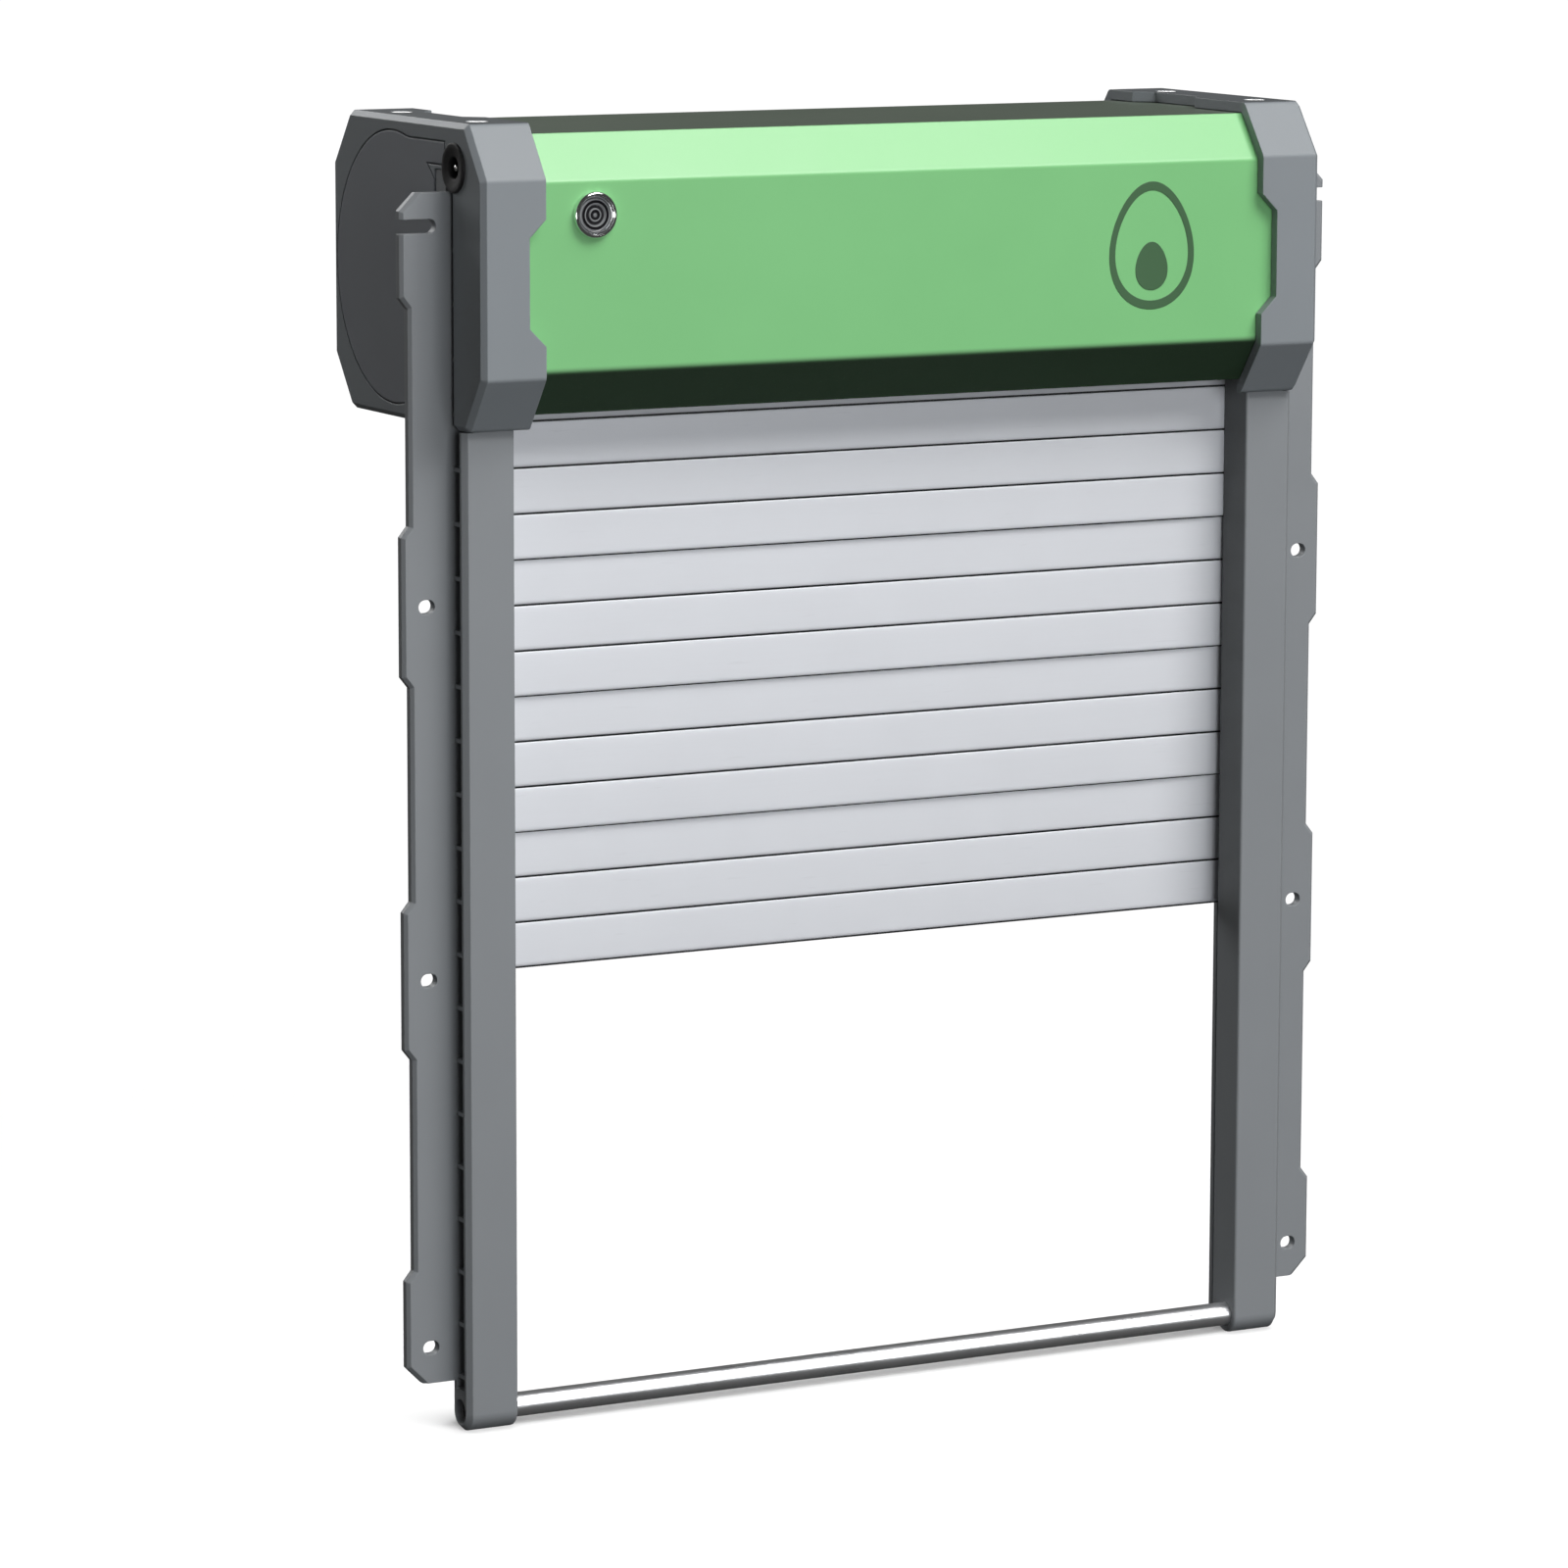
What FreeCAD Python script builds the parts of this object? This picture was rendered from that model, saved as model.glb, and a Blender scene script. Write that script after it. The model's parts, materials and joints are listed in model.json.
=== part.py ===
"""Automatic coop door: a slatted roller shutter between two screw-on side rails.

Frame: X runs across the doorway, +Y runs from the front of the door into the coop and +Z is up.
The origin is the centre of the door's footprint, level with the feet of the rails.
Every piece on the right is modelled first; its mirror image across X = 0 makes the left one.
"""
import FreeCAD, Part

import os
import re

import Sketcher
from FreeCAD import Vector

SIZES = {
    # the whole door
    "overall_width": 300.0,        # across the fixing tabs
    "overall_depth": 100.0,        # front of the head to its back
    "overall_height": 370.0,
    "front_reach": 24.0,           # head's front face to the wall plane
    # head
    "head_height": 85.0,
    "cap_proud": 0.1,              # cap's outer face beyond the rail's
    "cap_length": 19.4,            # how far a cap reaches in over the covers
    "cap_wall": 3.0,
    "cap_bevel": 1.5,
    "cap_crease": 2.0,             # rounding where two faces of the cap meet
    "front_run": 11.0,             # front chamfers, along Y
    "front_rise": 15.0,            # front chamfers, along Z
    "rear_run": 11.5,
    "rear_rise": 15.0,
    "notch_step": 5.0,             # how far the lip steps back at mid height
    "notch_low": 29.0,             # notch's lower corner above the head's underside
    "notch_tall": 25.0,
    "top_notch_front": 43.6,       # notch in the top lip, from the front face
    "top_notch_long": 26.0,
    "cover_gap": 0.2,
    "cover_wall": 2.0,
    "cover_end_gap": 0.5,
    "cover_bend": 2.0,             # outer radius of the covers' bends
    "mouth_front": 12.0,           # curtain mouth, ahead of and behind the wall plane
    "mouth_rear": 12.5,
    "plate_radius": 38.2,          # inset side plate
    "plate_thick": 1.0,
    "plate_seam": 0.5,
    "wing_drop": 1.4,              # wing's top edge below the disc's
    "wing_height": 6.0,
    "wing_front": 0.2,
    # side rails
    "flange_reach": 15.1,          # fixing tab beyond the rail's outer side
    "rail_width": 15.7,
    "rail_depth": 10.8,
    "rail_end": 25.0,              # rail's upper end below the top of the door
    "rail_plate": 2.5,             # front plate of the rail
    "rail_web": 4.8,
    "rail_bevel": 1.5,
    "rail_ease": 0.8,
    "rail_end_boss": 12.0,
    "rail_fit": 0.3,               # rail inside the cap
    "rib_thick": 1.2,
    "rib_first": 15.0,
    "rib_last": 35.8,              # below the top of the door
    "rib_recess": 0.6,
    "rib_count": 22.0,
    "channel_lip": 1.5,            # front wall of the curtain channel
    "channel_back": 1.8,
    "channel_side": 2.0,
    "channel_run": 8.7,            # how far the curtain runs in behind the rail
    "channel_foot": 4.0,
    "channel_floor": 1.2,
    "back_lip_set": 3.2,           # rear lip stands this far back from the doorway edge
    # fixing flange
    "flange_thick": 3.0,
    "flange_bevel": 1.0,
    "tab_step": 2.4,
    "tab_half": 19.6,
    "tab_taper": 3.0,
    "tab_corner": 5.0,
    "end_reach": 9.3,
    "slot_inset": 7.3,             # slot's middle from the tab's edge
    "slot_first": 24.5,
    "slot_last": 28.4,             # below the top of the door
    "slot_root": 1.5,              # open slot's round end, from the slot's middle
    "slot_long": 5.0,
    "slot_wide": 4.0,
    "flange_slot": 11.9,           # opening in the cap's side for the flange
    "flange_slot_front": 5.1,
    "flange_slot_top": 13.2,
    # cross tube
    "tube_radius": 3.5,
    "tube_wall": 0.6,
    "tube_fit": 0.05,
    "tube_height": 5.6,
    "tube_recess": 1.9,
    # curtain
    "curtain_spare": 27.0,         # height of curtain beyond the doorway's
    "slat_thick": 1.2,
    "slat_joint": 0.4,
    "slat_edge": 0.35,
    "slat_tongue": 0.9,
    "slat_play": 0.1,
    "slats_per_section": 6.0,
    "slats_shown": 3.0,
    "section_gap": 0.2,
    "slat_side_gap": 0.4,
    "seal_height": 0.9,
    "seal_drop": 0.6,
    "curtain_tucked": 1.0,         # top of the half-open curtain inside the head
    # roller and drive
    "roller_setback": 35.0,        # roller axis behind the wall plane
    "roller_radius": 12.0,
    "roller_wall": 1.5,
    "roller_end_gap": 23.0,        # roller's end to the cap's outer face
    "motor_gap": 1.0,
    "motor_fit": 0.05,
    "motor_long": 44.0,
    "gearbox_long": 24.0,
    "sleeve_play": 0.9,            # sleeve inside the roller tube
    "sleeve_wall": 1.35,
    "sleeve_long": 24.0,
    "running_gap": 0.05,
    "shaft_radius": 2.0,
    "shaft_long": 14.0,
    "shaft_gap": 0.3,
    "shaft_flat": 1.4,
    "hub_long": 11.0,
    "stub_radius": 4.0,
    "stub_long": 20.0,
    "stub_root": 1.0,
    "bearing_long": 8.0,
    "bush_radius": 6.5,
    "bush_long": 6.0,
    "mount_radius": 15.0,
    "mount_thick": 3.0,
    # electronics
    "board_long": 80.0,
    "board_tall": 40.0,
    "board_thick": 1.6,
    "board_left": 70.0,
    "board_low": 22.0,
    "board_stand": 5.0,
    "board_inset": 4.5,
    "post_radius": 3.0,
    "relay_start": 12.0,           # from the board's left edge
    "relay_step": 15.0,
    "relay_long": 12.0,
    "relay_deep": 7.0,
    "relay_low": 22.0,             # from the board's lower edge
    "relay_tall": 14.0,
    "chip_start": 44.0,
    "chip_side": 12.0,
    "chip_low": 20.0,
    "chip_thick": 1.6,
    "capacitor_start": 66.0,
    "capacitor_low": 26.0,
    "capacitor_radius": 4.0,
    "capacitor_long": 9.0,
    "terminal_start": 12.0,
    "terminal_long": 34.0,
    "terminal_low": 3.0,
    "terminal_tall": 8.0,
    "terminal_deep": 8.0,
    "sensor_inset": 35.6,          # sensor's axis to the cap's outer face
    "sensor_up": 59.6,
    "bezel_radius": 6.5,
    "bezel_proud": 2.0,
    "barrel_radius": 5.0,
    "barrel_long": 8.0,
    "barrel_fit": 0.1,
    "lens_radius": 4.6,
    "lens_proud": 1.0,
    "lens_thick": 2.5,
    "lens_slope": 1.2,
    "cell_rim": 1.0,
    "cell_long": 3.0,
    "socket_forward": 6.2,         # socket axis ahead of the wall plane
    "socket_down": 12.4,           # below the top of the door
    "socket_flange": 7.0,
    "socket_proud": 0.8,
    "socket_radius": 4.0,
    "socket_bore": 3.0,
    "socket_long": 11.0,
    "socket_floor": 1.0,
    "pin_radius": 1.0,
    "pin_sunk": 0.8,
    "nut_thick": 2.0,
    # screws
    "screw_inset": 9.0,            # screw's axis to the cap's outer face
    "screw_front": 2.0,            # front screw ahead of the wall plane
    "screw_rear": 48.0,            # rear screw behind it
    "screw_head": 3.0,
    "screw_head_tall": 1.4,
    "screw_shank": 1.3,
    "screw_long": 6.2,
    "screw_sink": 0.02,
    "screw_boss": 3.2,
    "boss_root": 0.5,
    "well_gap": 0.4,
    "shank_gap": 0.2,
    "cross_long": 3.4,
    "cross_wide": 0.7,
    "cross_deep": 0.9,
    "pan_radius": 2.4,
    "pan_tall": 1.6,
    "pan_slot": 0.6,
    "pan_slot_long": 4.0,
    "thread_rest": 0.5,            # board screw's tip to the foot of its post
}

FRONT = "(-overall_depth / 2)"
BACK = "(overall_depth / 2)"
WALL = "(front_reach - overall_depth / 2)"
TOP = "(overall_height)"
UNDERSIDE = "(overall_height - head_height)"
DOOR_EDGE = "(overall_width / 2 - flange_reach - rail_width)"
RAIL_OUT = "(overall_width / 2 - flange_reach)"
RAIL_FRONT = f"({WALL} - rail_depth)"
RAIL_TOP = f"({TOP} - rail_end)"
CAP_OUT = f"({RAIL_OUT} + cap_proud)"
CAP_IN = f"({CAP_OUT} - cap_length)"
COVER_END = f"({CAP_OUT} - cap_wall - cover_end_gap)"
SCREW_ACROSS = f"({CAP_OUT} - screw_inset)"
SCREW_PLACES = (f"({WALL} - screw_front)", f"({WALL} + screw_rear)")
COVER_SET = "(cap_wall + cover_gap)"
AXLE_Y = f"({WALL} + roller_setback)"
AXLE_Z = "(overall_height - head_height / 2)"
CHANNEL_FRONT = f"({WALL} + channel_lip)"
SECTIONS = 4
SLOT_ROWS = 4
PAST = 1  # how far a cutting solid runs past the face that it cuts
CHANNEL_DEPTH = f"({SECTIONS} * slat_thick + {SECTIONS + 1} * section_gap)"
CHANNEL_BACK = f"({CHANNEL_FRONT} + {CHANNEL_DEPTH})"
CHANNEL_END = f"({DOOR_EDGE} + channel_run)"
SLOT_X = "(overall_width / 2 - slot_inset)"
SLOT_PITCH = f"(({TOP} - slot_last - slot_first) / {SLOT_ROWS - 1})"
RIB_RUN = f"({TOP} - rib_last - rib_first)"
SLAT_PITCH = f"(({UNDERSIDE} + curtain_spare) / ({SECTIONS} * slats_per_section))"
CURTAIN_LOW = f"({UNDERSIDE} + curtain_tucked - {SECTIONS} * slats_shown * {SLAT_PITCH})"
ROLLER_END = f"({CAP_OUT} - roller_end_gap)"
ROLLER_BORE = "(roller_radius - roller_wall)"
SLEEVE_RADIUS = f"({ROLLER_BORE} - sleeve_play)"
SLEEVE_BORE = f"({SLEEVE_RADIUS} - sleeve_wall)"
MOTOR_RADIUS = f"({SLEEVE_BORE} - motor_fit)"

document = FreeCAD.newDocument("CoopDoor")
sheet = document.addObject("Spreadsheet::Sheet", "Sizes")
parts = []


def fill_sheet():
    """Write every driving size into the sheet and name its cell."""
    for row, (name, size) in enumerate(SIZES.items(), start=1):
        sheet.set(f"A{row}", name)
        sheet.set(f"B{row}", str(size))
        sheet.setAlias(f"B{row}", name)
    document.recompute()


def sized(text):
    """Return a size formula with each word pointing at its cell in the sheet."""
    return re.sub(r"\b(?!sqrt\b)[a-z][a-z_]+\b", lambda word: "Sizes." + word.group(0), str(text))


def number(text):
    """Return the present value of a size formula."""
    return float(sheet.evalExpression(sized(text)))


def bind(thing, **formulas):
    """Bind properties of a document object to size formulas."""
    for name, text in formulas.items():
        thing.setExpression(name.replace("__", "."), sized(text))


def place(thing, x=0, y=0, z=0):
    """Bind the place of a primitive to size formulas."""
    bind(thing, Placement__Base__x=x, Placement__Base__y=y, Placement__Base__z=z)


def keep(label, thing):
    """Name a finished piece and list it for export."""
    thing.Label = label
    parts.append(thing)
    return thing


# ---------------------------------------------------------------- primitives

def box(x, y, z):
    """Make a box from three (low, high) pairs of size formulas."""
    made = document.addObject("Part::Box", "Block")
    bind(made, Length=f"({x[1]}) - ({x[0]})", Width=f"({y[1]}) - ({y[0]})", Height=f"({z[1]}) - ({z[0]})")
    place(made, x[0], y[0], z[0])
    return made


AXES = {"x": Vector(0, 1, 0), "y": Vector(-1, 0, 0), "z": Vector(0, 0, 1)}


def rod(axis, start, radius, length):
    """Make a cylinder that runs along +axis from a start point."""
    made = document.addObject("Part::Cylinder", "Rod")
    turn = 0 if axis == "z" else 90
    made.Placement.Rotation = FreeCAD.Rotation(AXES[axis], turn)
    bind(made, Radius=radius, Height=length)
    place(made, *start)
    return made


def cone(axis, start, radius_low, radius_high, length):
    """Make a cone frustum that runs along +axis from a start point."""
    made = document.addObject("Part::Cone", "Taper")
    turn = 0 if axis == "z" else 90
    made.Placement.Rotation = FreeCAD.Rotation(AXES[axis], turn)
    bind(made, Radius1=radius_low, Radius2=radius_high, Height=length)
    place(made, *start)
    return made


def fuse(*pieces):
    """Join solids into one."""
    made = document.addObject("Part::MultiFuse", "Union")
    made.Shapes = list(pieces)
    made.Refine = True
    return made


def cut(base, *tools):
    """Take one or more solids away from a base."""
    made = document.addObject("Part::Cut", "Difference")
    made.Base = base
    made.Tool = tools[0] if len(tools) == 1 else fuse(*tools)
    return made


def tube(axis, start, outer, inner, length):
    """Make a pipe that runs along +axis from a start point."""
    return cut(rod(axis, start, outer, length), rod(axis, start, inner, length))


def mirrored(source):
    """Make the mirror image of a piece across the door's middle plane."""
    made = document.addObject("Part::Mirroring", "Mirrored")
    made.Source = source
    made.Normal = Vector(1, 0, 0)
    made.Base = Vector(0, 0, 0)
    return made


def grouped(pieces):
    """Group separate, identical solids in one piece."""
    made = document.addObject("Part::Compound", "Group")
    made.Links = pieces
    return made


# ---------------------------------------------------------------- sketched bodies

def new_body(name):
    """Start a body made from sketches."""
    return document.addObject("PartDesign::Body", name)


def new_sketch(body, plane, offset):
    """Attach a sketch to one of the body's own origin planes, moved along the plane's normal."""
    made = body.newObject("Sketcher::SketchObject", body.Name + "Sketch")
    face = next(item for item in body.Origin.OriginFeatures if item.Role == plane)
    made.AttachmentSupport = [(face, "")]
    made.MapMode = "FlatFace"
    made.setExpression("AttachmentOffset.Base.z", sized(offset))
    return made


def pin_point(sketch, line, end, point):
    """Hold one end of a sketch line at a pair of size formulas."""
    for kind, text in zip(("DistanceX", "DistanceY"), point):
        index = sketch.addConstraint(Sketcher.Constraint(kind, -1, 1, line, end, number(text)))
        sketch.setExpression(f"Constraints[{index}]", sized(text))


def outline(sketch, points):
    """Draw a closed outline through points given as pairs of size formulas."""
    places = [Vector(number(a), number(b), 0) for a, b in points]
    first = sketch.GeometryCount
    for index, start in enumerate(places):
        sketch.addGeometry(Part.LineSegment(start, places[(index + 1) % len(places)]), False)
    for index, point in enumerate(points):
        following = first + (index + 1) % len(points)
        sketch.addConstraint(Sketcher.Constraint("Coincident", first + index, 2, following, 1))
        pin_point(sketch, first + index, 1, point)


def circle(sketch, centre, radius):
    """Draw a circle about a pair of size formulas."""
    middle = Vector(number(centre[0]), number(centre[1]), 0)
    index = sketch.addGeometry(Part.Circle(middle, Vector(0, 0, 1), number(radius)), False)
    pin_point(sketch, index, 3, centre)
    size = sketch.addConstraint(Sketcher.Constraint("Radius", index, number(radius)))
    sketch.setExpression(f"Constraints[{size}]", sized(radius))


def rectangle(low, high):
    """Return the corners of a rectangle between two points."""
    return [low, (high[0], low[1]), high, (low[0], high[1])]


def feature(body, kind, sketch, length, backwards=False):
    """Add a pad or a pocket and check that it changed the body."""
    document.recompute()
    before = body.Shape.Volume if body.Tip else 0.0
    made = body.newObject("PartDesign::" + kind, body.Name + kind)
    made.Profile = sketch
    made.Reversed = backwards
    bind(made, Length=length)
    document.recompute()
    if abs(made.Shape.Volume - before) < 1e-6:
        raise ValueError(f"{made.Name} changes nothing")
    return made


def edges_where(shape, test):
    """Return the names of the edges whose ends and middle all pass a test."""
    names = []
    for index, edge in enumerate(shape.Edges, start=1):
        spots = [vertex.Point for vertex in edge.Vertexes]
        spots.append(edge.valueAt((edge.FirstParameter + edge.LastParameter) / 2))
        if all(test(spot) for spot in spots):
            names.append(f"Edge{index}")
    return names


def dress(body, kind, test, size):
    """Add a fillet or a chamfer to the edges that pass a test."""
    base = body.Tip
    made = body.newObject("PartDesign::" + kind, body.Name + kind)
    made.Base = (base, edges_where(base.Shape, test))
    bind(made, **{"Radius" if kind == "Fillet" else "Size": size})
    document.recompute()
    return made


def near(value, text):
    """Tell whether a coordinate is at a size formula."""
    return abs(value - number(text)) < 1e-4


def at_corner(corner, across=None):
    """Return a test for the edge that runs along a corner given as formulas in Y and Z, or across and Y."""
    deep, up = corner
    if up is None:
        return lambda spot: near(spot.x, across) and near(spot.y, deep)
    return lambda spot: near(spot.y, deep) and near(spot.z, up)


# ---------------------------------------------------------------- head

def head_section(inset):
    """Return the head's eight-sided section in Y and Z, moved in by an inset."""
    def eased(run, rise):
        slope = f"sqrt({run} ^ 2 + {rise} ^ 2)"
        return (
            f"({run} - ({inset}) * (1 + ({run} - {slope}) / {rise}))",
            f"({rise} - ({inset}) * (1 + ({rise} - {slope}) / {run}))",
        )
    front_run, front_rise = eased("front_run", "front_rise")
    rear_run, rear_rise = eased("rear_run", "rear_rise")
    low, high = f"({UNDERSIDE} + ({inset}))", f"({TOP} - ({inset}))"
    near_side, far_side = f"({FRONT} + ({inset}))", f"({BACK} - ({inset}))"
    return [
        (f"{near_side} + {front_run}", low),
        (near_side, f"{low} + {front_rise}"),
        (near_side, f"{high} - {front_rise}"),
        (f"{near_side} + {front_run}", high),
        (f"{far_side} - {rear_run}", high),
        (far_side, f"{high} - {rear_rise}"),
        (far_side, f"{low} + {rear_rise}"),
        (f"{far_side} - {rear_run}", low),
    ]


def side_plate_blank(outside, depth, grow):
    """Make the teardrop of the side plate: a disc about the roller axis with a wing to the front."""
    disc = rod("x", (f"{outside} - {depth}", AXLE_Y, AXLE_Z), f"plate_radius + {grow}", depth)
    wing_top = f"{AXLE_Z} + plate_radius - wing_drop + {grow}"
    wing = box(
        (f"{outside} - {depth}", outside),
        (f"{WALL} + wing_front - {grow}", AXLE_Y),
        (f"{wing_top} - wing_height - 2 * {grow}", wing_top),
    )
    return fuse(disc, wing)


def make_end_cap():
    """Make the right end cap: a shallow box with a stepped lip round its open side."""
    body = new_body("CapBody")
    skin = new_sketch(body, "YZ_Plane", CAP_IN)
    outline(skin, head_section("0"))
    feature(body, "Pad", skin, "cap_length")
    for corner in head_section("0"):
        dress(body, "Fillet", at_corner(corner), "cap_crease")
    dress(body, "Chamfer", lambda spot: near(spot.x, CAP_OUT), "cap_bevel")
    hollow = new_sketch(body, "YZ_Plane", CAP_IN)
    outline(hollow, head_section("cap_wall"))
    feature(body, "Pocket", hollow, "cap_length - cap_wall", backwards=True)
    step = new_sketch(body, "XZ_Plane", "overall_depth / 2")
    low, tall = f"{UNDERSIDE} + notch_low", "notch_tall"
    outline(step, notch(low, tall))
    feature(body, "Pocket", step, "cap_wall + cover_gap / 2")
    top_step = new_sketch(body, "XY_Plane", TOP)
    front = f"{FRONT} + top_notch_front"
    outline(top_step, notch(front, "top_notch_long"))
    feature(body, "Pocket", top_step, "cap_wall + cover_gap / 2")
    flange_way = new_sketch(body, "YZ_Plane", CAP_OUT)
    outline(flange_way, rectangle(
        (f"{WALL} - flange_slot_front", f"{UNDERSIDE} - {PAST}"),
        (f"{WALL} - flange_slot_front + flange_slot", f"{TOP} - flange_slot_top"),
    ))
    feature(body, "Pocket", flange_way, f"cap_wall + {PAST}")
    rail_way = new_sketch(body, "XY_Plane", UNDERSIDE)
    outline(rail_way, rectangle(
        (f"{CAP_IN} - {PAST}", f"{RAIL_FRONT} - rail_fit"),
        (f"{CAP_OUT} - cap_wall", f"{CHANNEL_BACK} + channel_back + rail_fit"),
    ))
    feature(body, "Pocket", rail_way, f"cap_wall + {PAST}", backwards=True)
    recess = side_plate_blank(CAP_OUT, "(plate_thick + plate_seam)", "plate_seam")
    wells = []
    for screw_y in SCREW_PLACES:
        seat = f"{TOP} - screw_head_tall - screw_sink"
        wells.append(rod("z", (SCREW_ACROSS, screw_y, seat), "screw_head + well_gap", "cap_wall"))
        foot = f"{TOP} - cap_wall - {PAST}"
        wells.append(rod("z", (SCREW_ACROSS, screw_y, foot), "screw_shank + shank_gap", f"cap_wall + {PAST}"))
    return cut(body, recess, *wells)


def notch(low, tall):
    """Return the outline of a step in the cap's lip, with slanted ends."""
    past = f"notch_step + {PAST}"
    return [
        (f"{CAP_IN} - {PAST}", f"{low} - ({past})"),
        (f"{CAP_IN} + notch_step", low),
        (f"{CAP_IN} + notch_step", f"{low} + {tall}"),
        (f"{CAP_IN} - {PAST}", f"{low} + {tall} + {past}"),
    ]


def socket_place(x):
    """Return a point on the power socket's axis."""
    return (x, f"{WALL} - socket_forward", f"{TOP} - socket_down")


def make_head():
    """Make the end caps, their side plates and the two covers between them."""
    cap = make_end_cap()
    inside, across = f"{CAP_OUT} - cap_wall", f"cap_wall + {PAST}"
    plate = cut(
        side_plate_blank(CAP_OUT, "plate_thick", "0"),
        rod("x", socket_place(inside), "socket_flange + plate_seam", across),
        box((inside, f"{CAP_OUT} + {PAST}"),
            (RAIL_FRONT, f"{WALL} - flange_slot_front + flange_slot + plate_seam"),
            (UNDERSIDE, f"{TOP} - flange_slot_top + plate_seam")),
    )
    keep("end_cap_right", cap)
    keep("side_plate_right", plate)
    hole_long = f"cap_wall + 2 * {PAST}"
    socket_hole = rod("x", socket_place(f"-{CAP_OUT} - {PAST}"), "socket_radius + barrel_fit", hole_long)
    keep("end_cap_left", cut(mirrored(cap), socket_hole))
    keep("side_plate_left", mirrored(plate))
    keep("front_cover", make_front_cover())
    keep("rear_cover", make_rear_cover())


def make_front_cover():
    """Make the painted front: a C-shaped strip over both front chamfers, with board posts inside."""
    body = new_body("FrontCoverBody")
    outer = head_section("cap_wall + cover_gap")
    inner = head_section("cap_wall + cover_gap + cover_wall")
    strip = new_sketch(body, "YZ_Plane", f"-{COVER_END}")
    outline(strip, outer[0:4] + [inner[3], inner[2], inner[1], inner[0]])
    feature(body, "Pad", strip, f"2 * {COVER_END}")
    for corner in outer[1:3]:
        dress(body, "Fillet", at_corner(corner), "cover_bend")
    trim = new_sketch(body, "YZ_Plane", f"-{COVER_END}")
    outline(trim, rectangle((f"{WALL} - mouth_front", UNDERSIDE), (WALL, AXLE_Z)))
    feature(body, "Pocket", trim, f"2 * {COVER_END}", backwards=True)
    skin = f"({FRONT} + {COVER_SET} + cover_wall)"
    posts = new_sketch(body, "XZ_Plane", f"-{skin}")
    for spot in board_holes():
        circle(posts, spot, "post_radius")
    feature(body, "Pad", posts, "board_stand", backwards=True)
    hole = new_sketch(body, "XZ_Plane", f"-{FRONT}")
    circle(hole, sensor_place(), "barrel_radius + barrel_fit")
    feature(body, "Pocket", hole, f"{COVER_SET} + cover_wall + {PAST}")
    tapped = new_sketch(body, "XZ_Plane", f"-({skin} + board_stand)")
    for spot in board_holes():
        circle(tapped, spot, "screw_shank")
    feature(body, "Pocket", tapped, "board_stand + cover_wall / 2", backwards=True)
    return body


def make_rear_cover():
    """Make the dark shell over the top, back and underside, with screw bosses under its top."""
    body = new_body("RearCoverBody")
    outer = head_section("cap_wall + cover_gap")
    inner = head_section("cap_wall + cover_gap + cover_wall")
    gap = "cover_gap"
    shell = new_sketch(body, "YZ_Plane", f"-{COVER_END}")
    mouth = f"{WALL} + mouth_rear"
    outline(shell, [
        (f"{outer[3][0]} + {gap}", outer[3][1]), outer[4], outer[5], outer[6], outer[7],
        (mouth, outer[7][1]), (mouth, inner[7][1]),
        inner[7], inner[6], inner[5], inner[4], (f"{inner[3][0]} + {gap}", inner[3][1]),
    ])
    feature(body, "Pad", shell, f"2 * {COVER_END}")
    for corner in outer[4:8]:
        dress(body, "Fillet", at_corner(corner), "cover_bend")
    bosses, bores = [], []
    ceiling = f"({TOP} - {COVER_SET} - cover_wall)"
    boss_tall = f"(screw_long + screw_sink - {COVER_SET} - cover_wall + boss_root)"
    for side in (f"-{SCREW_ACROSS}", SCREW_ACROSS):
        for screw_y in SCREW_PLACES:
            foot = (side, screw_y, f"{ceiling} - {boss_tall}")
            bosses.append(rod("z", foot, "screw_boss", f"{boss_tall} + boss_root"))
            bores.append(rod("z", foot, "screw_shank", f"{boss_tall} + cover_wall + {PAST}"))
    return cut(fuse(body, *bosses), *bores)


# ---------------------------------------------------------------- rails

def slot_height(row):
    """Return the height of one row of fixing slots."""
    return f"(slot_first + {row} * {SLOT_PITCH})"


def flange_outline():
    """Return the fixing flange's outline in X and Z, with a wide tab about each slot."""
    reach, neck = "overall_width / 2", "overall_width / 2 - tab_step"
    root = f"({DOOR_EDGE} + {RAIL_OUT}) / 2"
    centres = [slot_height(row) for row in range(SLOT_ROWS)]
    foot, head = f"{centres[0]} - end_reach - flange_bevel", f"{centres[-1]} + end_reach"
    points = [(root, foot), (f"{reach} - tab_corner", foot), (reach, f"{foot} + tab_corner")]
    for centre, following in zip(centres, centres[1:]):
        points += [
            (reach, f"{centre} + tab_half"),
            (neck, f"{centre} + tab_half + tab_taper"),
            (neck, f"{following} - tab_half - tab_taper"),
            (reach, f"{following} - tab_half"),
        ]
    return points + [(reach, f"{head} - tab_corner"), (f"{reach} - tab_corner", head), (root, head)]


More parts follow.
